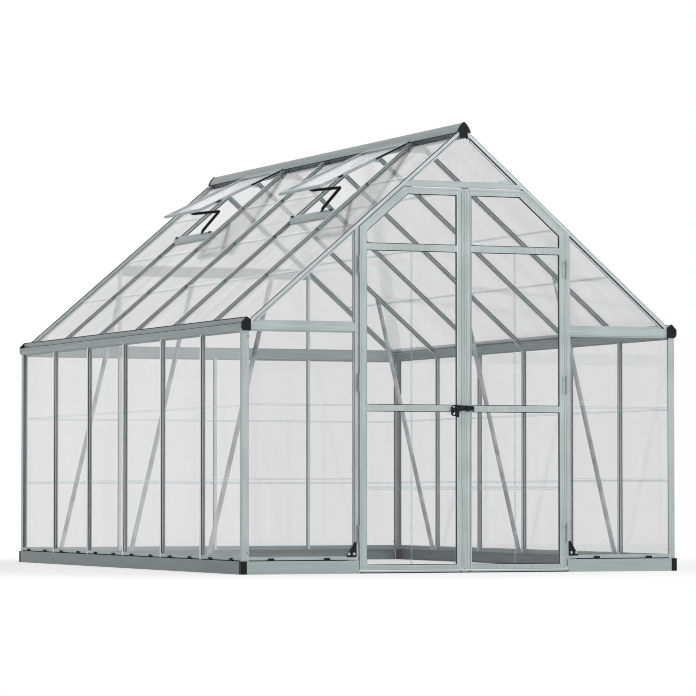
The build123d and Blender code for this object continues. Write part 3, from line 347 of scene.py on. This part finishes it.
def clear_plastic(name, tint, dull, flow, roughness):
    """a clear sheet that lets light straight through and mirrors more at a low angle"""
    made, tree = new_material(name)
    place = add_node(tree, "ShaderNodeTexCoord")
    drawn = add_node(
        tree, "ShaderNodeMapping", {0: place.outputs["Object"], "Scale": flow}
    )
    lines = add_node(tree, "ShaderNodeTexNoise", {"Vector": drawn.outputs[0], "Scale": 1.0, "Detail": 2.0})
    spread = add_node(tree, "ShaderNodeMapRange", {0: lines.outputs[0], 1: 0.35, 2: 0.65})
    colour = add_node(
        tree,
        "ShaderNodeMix",
        {0: spread.outputs[0], 6: paint(dull), 7: paint(tint)},
        data_type="RGBA",
    )
    relief = add_node(
        tree, "ShaderNodeBump", {"Height": lines.outputs[0], "Strength": 0.3, "Distance": FLOW_DEPTH}
    )
    through = add_node(tree, "ShaderNodeBsdfTransparent", {0: colour.outputs[2]})
    gloss = add_node(
        tree,
        "ShaderNodeBsdfGlossy",
        {"Color": paint("#FFFFFF"), "Roughness": roughness, "Normal": relief.outputs[0]},
    )
    edge = add_node(tree, "ShaderNodeLayerWeight", {"Blend": 0.5})
    steep = add_node(tree, "ShaderNodeMath", {0: edge.outputs["Facing"], 1: 5.0}, operation="POWER")
    share = add_node(
        tree, "ShaderNodeMath", {0: steep.outputs[0], 1: 0.75, 2: 0.03}, operation="MULTIPLY_ADD"
    )
    mixed = add_node(
        tree, "ShaderNodeMixShader", {0: share.outputs[0], 1: through.outputs[0], 2: gloss.outputs[0]}
    )
    add_node(tree, "ShaderNodeOutputMaterial", {0: mixed.outputs[0]})
    return made


sheet_upright = clear_plastic("clear_polycarbonate_upright", "#F6F6F6", "#F5F5F5", (14, 14, 1.5), 0.04)
sheet_sloped = clear_plastic("clear_polycarbonate_sloped", "#F6F6F6", "#F3F3F3", (1.2, 7, 1.2), 0.08)
dress(["left_wall_panels", "right_wall_panels", "rear_panels", "front_panels"], sheet_upright)
dress(["left_door_panels", "right_door_panels"], sheet_upright)
# painted shade: the left roof's sheets are toned greyer than the right roof's, for the light they stand in
sheet_left_roof_painted_shade = clear_plastic("clear_polycarbonate_left_roof_painted_shade", "#EEEEEE", "#E6E6E6", (1.2, 7, 1.2), 0.08)
dress(["right_roof_panels", "vent_panels"], sheet_sloped)
dress(["left_roof_panels"], sheet_left_roof_painted_shade)

# Jointing strips: clear polycarbonate sections, pushed on between two sheets in a bay.
# They are toned a little clearer than the sheets, a painted highlight, so that they read as thin light lines.
strip_clear = clear_plastic("clear_polycarbonate_strip", "#FBFCFC", "#F7F9F9", (60, 60, 60), 0.1)
dress(["wall_strips", "roof_strips", "left_door_strips", "right_door_strips"], strip_clear)


# Dark lines of the wall bars: black cord laid in the channels beside each bar's web as painted shade,
# one run outside the sheet and one inside it
def begin_tree(name, inputs):
    """a geometry tree with named inputs between its geometry and its material"""
    tree = bpy.data.node_groups.new(name, "GeometryNodeTree")
    sockets = {"Geometry": "Geometry", **inputs, "Material": "Material"}
    for label, kind in sockets.items():
        tree.interface.new_socket(label, in_out="INPUT", socket_type="NodeSocket" + kind)
    tree.interface.new_socket("Geometry", in_out="OUTPUT", socket_type="NodeSocketGeometry")
    return tree, add_node(tree, "NodeGroupInput").outputs


def end_tree(tree, given, geometry):
    """makes a tree's result real and gives it the material"""
    real = add_node(tree, "GeometryNodeRealizeInstances", {"Geometry": geometry})
    named = add_node(
        tree, "GeometryNodeSetMaterial", {"Geometry": real.outputs[0], "Material": given["Material"]}
    )
    add_node(tree, "NodeGroupOutput", {"Geometry": named.outputs[0]})
    return tree


def cord_tree():
    """a round cord along every edge of a mesh, with closed ends"""
    tree, given = begin_tree("round_cord", {"Radius": "Float", "Sides": "Int"})
    line = add_node(tree, "GeometryNodeMeshToCurve", {"Mesh": given["Geometry"]})
    ring = add_node(
        tree,
        "GeometryNodeCurvePrimitiveCircle",
        {"Resolution": given["Sides"], "Radius": given["Radius"]},
    )
    tube = add_node(
        tree,
        "GeometryNodeCurveToMesh",
        {"Curve": line.outputs[0], "Profile Curve": ring.outputs["Curve"], "Fill Caps": True},
    )
    return end_tree(tree, given, tube.outputs[0])


def grow_piece(name, points, edges, tree, inputs, material, body, turns=None):
    """runs a node tree over loose points or edges and keeps the plain mesh that it gives"""
    seed = bpy.data.meshes.new(name + "_seed")
    seed.from_pydata(points, edges, [])
    if turns:
        turned = seed.attributes.new("turn", "FLOAT_VECTOR", "POINT")
        turned.data.foreach_set("vector", [value for turn in turns for value in turn])
    made = bpy.data.objects.new(name, seed)
    scene.collection.objects.link(made)
    made.modifiers.new("grow", "NODES").node_group = tree
    for item in tree.interface.items_tree:
        if item.in_out == "INPUT" and item.name in inputs:
            made.modifiers["grow"][item.identifier] = inputs[item.name]
        if item.in_out == "INPUT" and item.name == "Material":
            made.modifiers["grow"][item.identifier] = material
    grown = made.evaluated_get(bpy.context.evaluated_depsgraph_get())
    made.data = bpy.data.meshes.new_from_object(grown)
    made.modifiers.clear()
    made.data.name = name
    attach(made, body)
    return made


BAY = 0.61
FACE_X = 1.222
FACE_Y = 1.832
BAR_FOOT = 0.09
SIDE_BAR_HEAD = 1.219
REAR_BAR_HEAD = 1.214
WEB_SIDE = 0.0035
INNER_CHANNEL = 0.0199
OUTER_CHANNEL = 0.0051
cross_lines = [BAY * i for i in range(-2, 3)]
cord_line = cord_tree()
# one black for the real rubber seals and for the cords laid in channels and gaps as painted shade
rubber_and_shade_black = moulded_black("black_epdm_rubber_and_painted_shade", "#101213", 0.6, 1400)


def lay_cords(name, pairs, radius, material=rubber_and_shade_black, body="root", sides=8):
    """straight cords between pairs of points, as one piece"""
    points = [end for pair in pairs for end in pair]
    edges = [(i, i + 1) for i in range(0, len(points), 2)]
    shape = {"Radius": radius, "Sides": sides}
    return grow_piece(name, points, edges, cord_line, shape, material, body)


def wall_cords(depth):
    """a painted shade cord on either side of every wall bar's web, this deep behind the outer face"""
    pairs = []
    for side in (-1, 1):
        x = side * (FACE_X - depth)
        for y in cross_lines:
            for lean in (-WEB_SIDE, WEB_SIDE):
                pairs.append(((x, y + lean, BAR_FOOT), (x, y + lean, SIDE_BAR_HEAD)))
    y = FACE_Y - depth
    for x in (-BAY, 0, BAY):
        for lean in (-WEB_SIDE, WEB_SIDE):
            pairs.append(((x + lean, y, BAR_FOOT), (x + lean, y, REAR_BAR_HEAD)))
    return pairs


lay_cords("wall_inner_shade_cords", wall_cords(INNER_CHANNEL), 0.0018)
lay_cords("wall_outer_shade_cords", wall_cords(OUTER_CHANNEL), 0.002)

# Dark lines of the rafters: the same black cord, laid in the channels of the roof's glazing bars as painted
# shade from ridge to gutter, above the sheet and below it
ROOF_PITCH = 0.8595
RIDGE_Z = 2.3
RAFTER_TOP_X = 0.036
RAFTER_FOOT_X = 1.176
slant = math.hypot(1, ROOF_PITCH)


def roof_point(side, x, y, depth):
    """a point under the roof's outer face, at this distance from the middle"""
    return (side * x, y, RIDGE_Z - ROOF_PITCH * x - depth * slant)


def down_roof(side, y, depth, top_x=RAFTER_TOP_X, foot_x=RAFTER_FOOT_X):
    """the two ends of a run down one slope"""
    return roof_point(side, top_x, y, depth), roof_point(side, foot_x, y, depth)


def rafter_cords(depth):
    """a painted shade cord on either side of every rafter's web, this deep under the outer face"""
    leans = (-WEB_SIDE, WEB_SIDE)
    return [down_roof(side, y + lean, depth) for side in (-1, 1) for y in cross_lines for lean in leans]


lay_cords("rafter_inner_shade_cords", rafter_cords(INNER_CHANNEL), 0.0016)
lay_cords("rafter_outer_shade_cords", rafter_cords(OUTER_CHANNEL), 0.0014)

# Dark lines of the gables: black cord along both edges of each gable rafter as painted shade,
# over the roof sheet and under it
GABLE_CORD_Y = FACE_Y - 0.0045
GABLE_TOP_X = 0.042
OVER_SHEET, OVER_FOOT_X = -0.0016, 1.176
UNDER_SHEET, UNDER_FOOT_X = 0.0178, 1.17
pairs = []
for side in (-1, 1):
    for end in (-1, 1):
        for depth, foot_x in ((OVER_SHEET, OVER_FOOT_X), (UNDER_SHEET, UNDER_FOOT_X)):
            pairs.append(down_roof(side, end * GABLE_CORD_Y, depth, GABLE_TOP_X, foot_x))
lay_cords("gable_rafter_shade_cords", pairs, 0.002)

# Dark lines of the gutters: black cord as painted shade along the lip that the roof sheets rest on,
# and two runs along the front of the trough
EAVES_HALF = 1.83
GUTTER_CORDS = ((1.2045, 1.2968), (1.2262, 1.2665), (1.2262, 1.2425))
pairs = []
for side in (-1, 1):
    for x, z in GUTTER_CORDS:
        pairs.append(((side * x, -EAVES_HALF, z), (side * x, EAVES_HALF, z)))
lay_cords("gutter_shade_cords", pairs, 0.0026)

# Dark line of the ridge: black cord as painted shade where the skirts of the ridge beam meet the roof sheets
RIDGE_CORD_X, RIDGE_CORD_DEPTH = 0.0355, -0.003
pairs = []
for side in (-1, 1):
    ends = [roof_point(side, RIDGE_CORD_X, end * EAVES_HALF, RIDGE_CORD_DEPTH) for end in (-1, 1)]
    pairs.append(ends)
lay_cords("ridge_shade_cords", pairs, 0.0022)

# Shadow of the sills: black cord laid in the gap between the base rails and the sill channels, a painted
# shadow
SILL_GAP_Z = 0.0682
GAP_DEPTH = 0.0035
DOOR_SIDE_X = 0.648
CORNER_X = 1.186
CORNER_Y = 1.79
front_y, rear_y = -FACE_Y + GAP_DEPTH, FACE_Y - GAP_DEPTH
pairs = []
for side in (-1, 1):
    side_x = side * (FACE_X - GAP_DEPTH)
    pairs.append(((side * DOOR_SIDE_X, front_y, SILL_GAP_Z), (side * CORNER_X, front_y, SILL_GAP_Z)))
    pairs.append(((side_x, -CORNER_Y, SILL_GAP_Z), (side_x, CORNER_Y, SILL_GAP_Z)))
pairs.append(((-CORNER_X, rear_y, SILL_GAP_Z), (CORNER_X, rear_y, SILL_GAP_Z)))
lay_cords("sill_gap_shadow_cords", pairs, 0.002)

# Seals of the doors: black rubber cord round each light, where the sheet enters the leaf's bars,
# and a finer grey one round the leaf's own edge
LIGHT_NEAR, LIGHT_FAR = 0.04125, 0.546
LIGHT_ROWS = ((0.042, 0.83), (0.861, 1.654))
TOP_LIGHT = (1.687, 1.948)
SLANT_IN = 0.061
LIGHT_CORD = 0.0022
LIGHT_CORD_Y = -1.8345
LEAF_EDGES = (0.0019, 0.58535, 0.0177, 1.98135, 0.01965)
LEAF_CORD_Y = -1.83
seal_grey = wear_metal("grey_glazing_seal", "#C9D0CF", "#B4BDBC", (40, 40, 40), 0.6, 0.0)


def slanted_outline(near, far, low, high, depth):
    """corners of a door outline whose outer top corner follows the roof"""
    far_top = RIDGE_Z - ROOF_PITCH * far - depth * slant
    high_x = (RIDGE_Z - depth * slant - high) / ROOF_PITCH
    return [(near, low), (far, low), (far, far_top), (high_x, high), (near, high)]


def lay_rings(name, rings, side, y, radius, material, body, slot):
    """closed cords round outlines given in X and Z, as one piece"""
    points, edges = [], []
    for ring in rings:
        first = len(points)
        points += [(side * x, y, z) for x, z in ring]
        edges += [(first + i, first + (i + 1) % len(ring)) for i in range(len(ring))]
    shape = {"Radius": radius, "Sides": 8}
    return grow_piece(name, points, edges, cord_line, shape, material, body)


near, far = LIGHT_NEAR + LIGHT_CORD, LIGHT_FAR - LIGHT_CORD
light_rings = [
    [(near, low + LIGHT_CORD), (far, low + LIGHT_CORD), (far, high - LIGHT_CORD), (near, high - LIGHT_CORD)]
    for low, high in LIGHT_ROWS
]
low, high = TOP_LIGHT
light_rings.append(slanted_outline(near, far, low + LIGHT_CORD, high - LIGHT_CORD, SLANT_IN + LIGHT_CORD))
edge_rings = [slanted_outline(*LEAF_EDGES)]
for name, side in (("left_door", -1), ("right_door", 1)):
    seals = (light_rings, side, LIGHT_CORD_Y, LIGHT_CORD, rubber_and_shade_black, name, "black_plastic")
    lay_rings(name + "_light_seals", *seals)
    seals = (edge_rings, side, LEAF_CORD_Y, 0.0013, seal_grey, name, "aluminium")
    lay_rings(name + "_edge_seal", *seals)


# Snap clips: moulded black polypropylene feet that hold the walls to the base rails,
# two in every bay, pushed in from outside
def place_on_points(tree, given, parts):
    """joins parts and puts them on every point, turned by the point's own turn"""
    whole = add_node(tree, "GeometryNodeJoinGeometry")
    for part in parts:
        tree.links.new(part, whole.inputs[0])
    turn = add_node(tree, "GeometryNodeInputNamedAttribute", {"Name": "turn"}, data_type="FLOAT_VECTOR")
    euler = add_node(tree, "FunctionNodeEulerToRotation", {0: turn.outputs[0]})
    placed = add_node(
        tree,
        "GeometryNodeInstanceOnPoints",
        {"Points": given["Geometry"], "Instance": whole.outputs[0], "Rotation": euler.outputs[0]},
    )
    return end_tree(tree, given, placed.outputs[0])


def clip_tree():
    """a clip on every point: a flat tongue, a raised nose and a round boss"""
    shape = {"Tongue": "Vector", "Nose": "Vector", "Nose Place": "Vector", "Boss Radius": "Float"}
    tree, given = begin_tree("base_clip", {**shape, "Boss Length": "Float"})
    tongue = add_node(tree, "GeometryNodeMeshCube", {"Size": given["Tongue"]})
    nose = add_node(tree, "GeometryNodeMeshCube", {"Size": given["Nose"]})
    boss = add_node(
        tree,
        "GeometryNodeMeshCylinder",
        {"Vertices": 10, "Radius": given["Boss Radius"], "Depth": given["Boss Length"]},
    )
    parts = [tongue.outputs["Mesh"]]
    for raised in (nose, boss):
        moved = add_node(
            tree,
            "GeometryNodeTransform",
            {"Geometry": raised.outputs["Mesh"], "Translation": given["Nose Place"]},
        )
        parts.append(moved.outputs[0])
    return place_on_points(tree, given, parts)


CLIP_PITCH = BAY / 2
CLIP_Z = 0.0685
CLIP_PROUD = 0.0005
CLIP_SHAPE = {
    "Tongue": (0.036, 0.017, 0.0046),
    "Nose": (0.03, 0.0075, 0.0125),
    "Nose Place": (0, 0.0047, 0.0056),
    "Boss Radius": 0.0045,
    "Boss Length": 0.012,
}
points, turns = [], []
for side in (-1, 1):
    for step in range(12):
        points.append((side * (FACE_X + CLIP_PROUD), CLIP_PITCH * (step - 5.5), CLIP_Z))
        turns.append((0, 0, -side * math.pi / 2))
    for step in (2.5, 3.5):
        points.append((side * CLIP_PITCH * step, -FACE_Y - CLIP_PROUD, CLIP_Z))
        turns.append((0, 0, math.pi))
for step in range(8):
    points.append((CLIP_PITCH * (step - 3.5), FACE_Y + CLIP_PROUD, CLIP_Z))
    turns.append((0, 0, 0))
grow_piece(
    "base_clips", points, [], clip_tree(), CLIP_SHAPE, black_plastic, "root", turns
)

# Seals of the vents: black rubber along the side bars of each vent leaf,
# a long piece near the hinge and a short one near the free edge
VENT_HINGE_X, VENT_HINGE_Z = -0.0373, 2.28094
VENT_FALL = math.radians(26)
VENT_CORD_Y = 0.2958
VENT_CENTRES = (-0.915, 0.915)
VENT_CORD_RUNS = ((0.02, 0.215), (0.425, 0.455))
VENT_CORD_UP = -0.0075


def vent_spot(down, up, y):
    """a point on a vent, from its distance down the leaf and out of its face"""
    x = VENT_HINGE_X - down * math.cos(VENT_FALL) - up * math.sin(VENT_FALL)
    z = VENT_HINGE_Z - down * math.sin(VENT_FALL) + up * math.cos(VENT_FALL)
    return (x, y, z)


pairs = []
for centre in VENT_CENTRES:
    for edge in (-1, 1):
        y = centre + edge * VENT_CORD_Y
        for top, foot in VENT_CORD_RUNS:
            pairs.append((vent_spot(top, VENT_CORD_UP, y), vent_spot(foot, VENT_CORD_UP, y)))
lay_cords("vent_side_seals", pairs, 0.0045)

# Stays of the vents: a black moulded sleeve over each leg of the folded stay, from the sill
# to the elbow and on to the leaf
STAY_FROM_EDGE = 0.17
STAY_FOOT_X, STAY_FOOT_DEPTH, STAY_FOOT_UP = 0.469, -0.008, 0.011
STAY_ELBOW_X, STAY_ELBOW_Z = -0.366, 2.036
STAY_HEAD_DOWN, STAY_HEAD_UP = 0.558, -0.022
pairs = []
for centre in VENT_CENTRES:
    y = centre - BAY / 2 + STAY_FROM_EDGE
    seat = roof_point(-1, STAY_FOOT_X, y, STAY_FOOT_DEPTH)
    foot = (seat[0], y, seat[2] + STAY_FOOT_UP)
    elbow = (STAY_ELBOW_X, y, STAY_ELBOW_Z)
    pairs += [(foot, elbow), (elbow, vent_spot(STAY_HEAD_DOWN, STAY_HEAD_UP, y))]
lay_cords("vent_stay_tubes", pairs, 0.0085, black_plastic, sides=10)

# Sill ends of the vents: black rubber plugs pushed on the two ends of each raised sill
SILL_X, SILL_UP = 0.476, -0.0095
SILL_END_RUN = (0.262, 0.288)
pairs = []
for centre in VENT_CENTRES:
    for edge in (-1, 1):
        pairs.append([roof_point(-1, SILL_X, centre + edge * out, SILL_UP) for out in SILL_END_RUN])
lay_cords("vent_sill_ends", pairs, 0.0065)

# Clips of the roof strips: black pegs across each rafter where a jointing strip meets it,
# which keep the sheets from sliding down
STRIP_LINES = (0.2882, 0.5741, 0.86)
PEG_HALF = 0.013
PEG_DEPTH = 0.0045
pairs = []
for side in (-1, 1):
    for x in STRIP_LINES:
        for y in cross_lines:
            pairs.append([roof_point(side, x, y + end * PEG_HALF, PEG_DEPTH) for end in (-1, 1)])
lay_cords("roof_strip_clips", pairs, 0.0045)

# Latch: two bright screws in its body on the left leaf, and small black teeth under its arm
# on the right leaf
SCREW_X = -0.0665
SCREW_HEIGHTS = (0.853, 0.816)
SCREW_RUN = (-1.8545, -1.858)
TEETH = ((0.012, 0.007), (0.021, 0.0055), (0.046, 0.006))
TEETH_Y, TEETH_Z = -1.85, 0.836
TEETH_LEAN = 0.004
pairs = [[(SCREW_X, y, z) for y in SCREW_RUN] for z in SCREW_HEIGHTS]
lay_cords("latch_pivot_screws", pairs, 0.0042, seal_grey, "left_door", sides=12)
pairs = [((x, TEETH_Y, TEETH_Z), (x + TEETH_LEAN, TEETH_Y, TEETH_Z - drop)) for x, drop in TEETH]
lay_cords("catch_teeth", pairs, 0.003, black_plastic, "right_door")

# Seam of the doors: a grey brush held in the left leaf's free edge, which closes the gap
SEAM_Y = -1.8372
SEAM_LOW, SEAM_HIGH = 0.022, 1.976
pairs = [((0, SEAM_Y, SEAM_LOW), (0, SEAM_Y, SEAM_HIGH))]
lay_cords("left_door_seam_brush", pairs, 0.0029, seal_grey, "left_door", sides=10)

# Lines of the doors: a fine bright cord beside the glass of each leaf, a painted highlight, and a grey line
# nearer the seam, a painted shade line, both broken at the latch
STILE_FRONT = -1.8403
STILE_RUNS = ((0.03, 0.798), (0.868, 1.965))
UPRIGHT_LINES = (DIE_LINES, DIE_LINES, ALONG)
highlight_cord_metal = wear_metal("bright_cord_painted_highlight", "#EEF3F2", "#DDE5E4", UPRIGHT_LINES, 0.3, 0.2)
shade_cord_metal = wear_metal("grey_cord_painted_shade", "#8E9998", "#7F8A89", UPRIGHT_LINES, 0.6, 0.0)
for name, body, x, radius, metal in (
    ("left_door_highlight_cord", "left_door", -0.0385, 0.0014, highlight_cord_metal),
    ("left_door_shade_cord", "left_door", -0.013, 0.001, shade_cord_metal),
    ("right_door_highlight_cord", "right_door", 0.0385, 0.0014, highlight_cord_metal),
    ("right_door_shade_cord", "right_door", 0.0345, 0.0012, shade_cord_metal),
):
    pairs = [((x, STILE_FRONT, low), (x, STILE_FRONT, high)) for low, high in STILE_RUNS]
    lay_cords(name, pairs, radius, metal, body)

# Threshold: a black rubber line along its foot, with a small black block at each end
# and one on either side of the seam
FOOT_LINE_HALF, FOOT_LINE_Y, FOOT_LINE_Z = 0.583, -1.8565, 0.0035
BLOCK_Y = -1.8555
BLOCKS = ((0.578, 0.588, 0.0055), (0.021, 0.029, 0.009))
pairs = [((-FOOT_LINE_HALF, FOOT_LINE_Y, FOOT_LINE_Z), (FOOT_LINE_HALF, FOOT_LINE_Y, FOOT_LINE_Z))]
for side in (-1, 1):
    for near, far, z in BLOCKS:
        pairs.append(((side * near, BLOCK_Y, z), (side * far, BLOCK_Y, z)))
lay_cords("threshold_seal", pairs, 0.0022)


# Bolts: zinc plated steel, hexagon heads on washers, at both ends of the struts, on the ridge
# plates, at the heads and feet of the corner posts and at the door posts' gussets
def bolt_tree():
    """a hexagon head on a washer at every point"""
    shape = {"Head Radius": "Float", "Head Height": "Float", "Washer Radius": "Float"}
    tree, given = begin_tree("hex_bolt", {**shape, "Washer Height": "Float"})
    head = add_node(
        tree,
        "GeometryNodeMeshCylinder",
        {"Vertices": 6, "Radius": given["Head Radius"], "Depth": given["Head Height"]},
    )
    lift = add_node(tree, "ShaderNodeMath", {0: given["Head Height"], 1: 0.5}, operation="MULTIPLY")
    rise = add_node(tree, "ShaderNodeCombineXYZ", {"Z": lift.outputs[0]})
    raised = add_node(
        tree, "GeometryNodeTransform", {"Geometry": head.outputs["Mesh"], "Translation": rise.outputs[0]}
    )
    washer = add_node(
        tree,
        "GeometryNodeMeshCylinder",
        {"Vertices": 14, "Radius": given["Washer Radius"], "Depth": given["Washer Height"]},
    )
    return place_on_points(tree, given, [raised.outputs[0], washer.outputs["Mesh"]])


hex_bolt = bolt_tree()
bolt_zinc = wear_metal("zinc_plated_steel_bolt", "#BFC6C4", "#8F9896", (300, 300, 300), 0.35, 0.9)
BOLT_SHAPE = {"Head Radius": 0.0052, "Head Height": 0.004, "Washer Radius": 0.0075, "Washer Height": 0.0016}
TO_FRONT, TO_REAR = (0, -1, 0), (0, 1, 0)
STRUT_LINES = (-1.22, 0, 1.22)
STRUT_FOOT_X, STRUT_FOOT_Z = 1.178, 0.069
STRUT_HEAD_X, STRUT_HEAD_Z = 0.815, 1.578
STRUT_RUN_X, STRUT_RUN_Z = 0.2338, 0.9723
FOOT_BOLT_UP = 0.022
HEAD_BOLT_DOWN = 0.028
STRUT_FRONT = Vector((0, -0.0134, 0))
PLATE_BOLT_LINES = (-0.045, -0.024, 0.024, 0.045)
PLATE_BACK, PLATE_BOLT_Z = 0.0113, 2.232
POST_BOLT_X = 1.19
POST_BOLT_HEIGHTS = (1.2, 0.11)
POST_BOLT_PROUD = 0.0005
GUSSET_BOLT_LINES = (0.614, 0.642)
GUSSET_BOLT_PROUD, GUSSET_BOLT_Z = 0.0035, 0.1


def facing(direction):
    """the turn that points a bolt's head this way"""
    return tuple(Vector(direction).to_track_quat("Z", "Y").to_euler())


spots = []
for side in (-1, 1):
    up_strut = Vector((-side * STRUT_RUN_X, 0, STRUT_RUN_Z))
    for y in STRUT_LINES:
        foot = Vector((side * STRUT_FOOT_X, y, STRUT_FOOT_Z))
        spots.append((foot + up_strut * FOOT_BOLT_UP + STRUT_FRONT, TO_FRONT))
        head = Vector((side * STRUT_HEAD_X, y, STRUT_HEAD_Z))
        spots.append((head - up_strut * HEAD_BOLT_DOWN + STRUT_FRONT, TO_FRONT))
for y in cross_lines:
    for x in PLATE_BOLT_LINES:
        spots.append(((x, y + PLATE_BACK, PLATE_BOLT_Z), TO_REAR))
for side in (-1, 1):
    for end in (-1, 1):
        for z in POST_BOLT_HEIGHTS:
            spots.append(((side * POST_BOLT_X, end * (FACE_Y + POST_BOLT_PROUD), z), (0, end, 0)))
    for x in GUSSET_BOLT_LINES:
        spots.append(((side * x, -FACE_Y - GUSSET_BOLT_PROUD, GUSSET_BOLT_Z), TO_FRONT))
points = [tuple(place) for place, way in spots]
turns = [facing(way) for place, way in spots]
grow_piece("frame_bolts", points, [], hex_bolt, BOLT_SHAPE, bolt_zinc, "root", turns)

# Hinge screws: small zinc plated heads, two on each hinge plate of the posts and two on each
# plate of the leaves
SCREW_SHAPE = {
    "Head Radius": 0.0036,
    "Head Height": 0.0018,
    "Washer Radius": 0.0048,
    "Washer Height": 0.0016,
}
HINGE_HEIGHTS = (0.203, 0.975, 1.577)
SCREW_LIFTS = (-0.03, 0.03)
POST_SCREW_X, POST_SCREW_PROUD = 0.5945, 0.003
LEAF_SCREW_X, LEAF_SCREW_Y = 0.572, -1.8431
hinge_rows = [z + lift for z in HINGE_HEIGHTS for lift in SCREW_LIFTS]


def screw_on(name, points, body):
    """hinge screws on these points, heads to the front"""
    turns = [facing(TO_FRONT)] * len(points)
    grow_piece(name, points, [], hex_bolt, SCREW_SHAPE, bolt_zinc, body, turns)


post_y = -FACE_Y - POST_SCREW_PROUD
points = [(side * POST_SCREW_X, post_y, z) for side in (-1, 1) for z in hinge_rows]
screw_on("post_hinge_screws", points, "root")
for name, side in (("left_door", -1), ("right_door", 1)):
    screw_on(name + "_hinge_screws", [(side * LEAF_SCREW_X, LEAF_SCREW_Y, z) for z in hinge_rows], name)
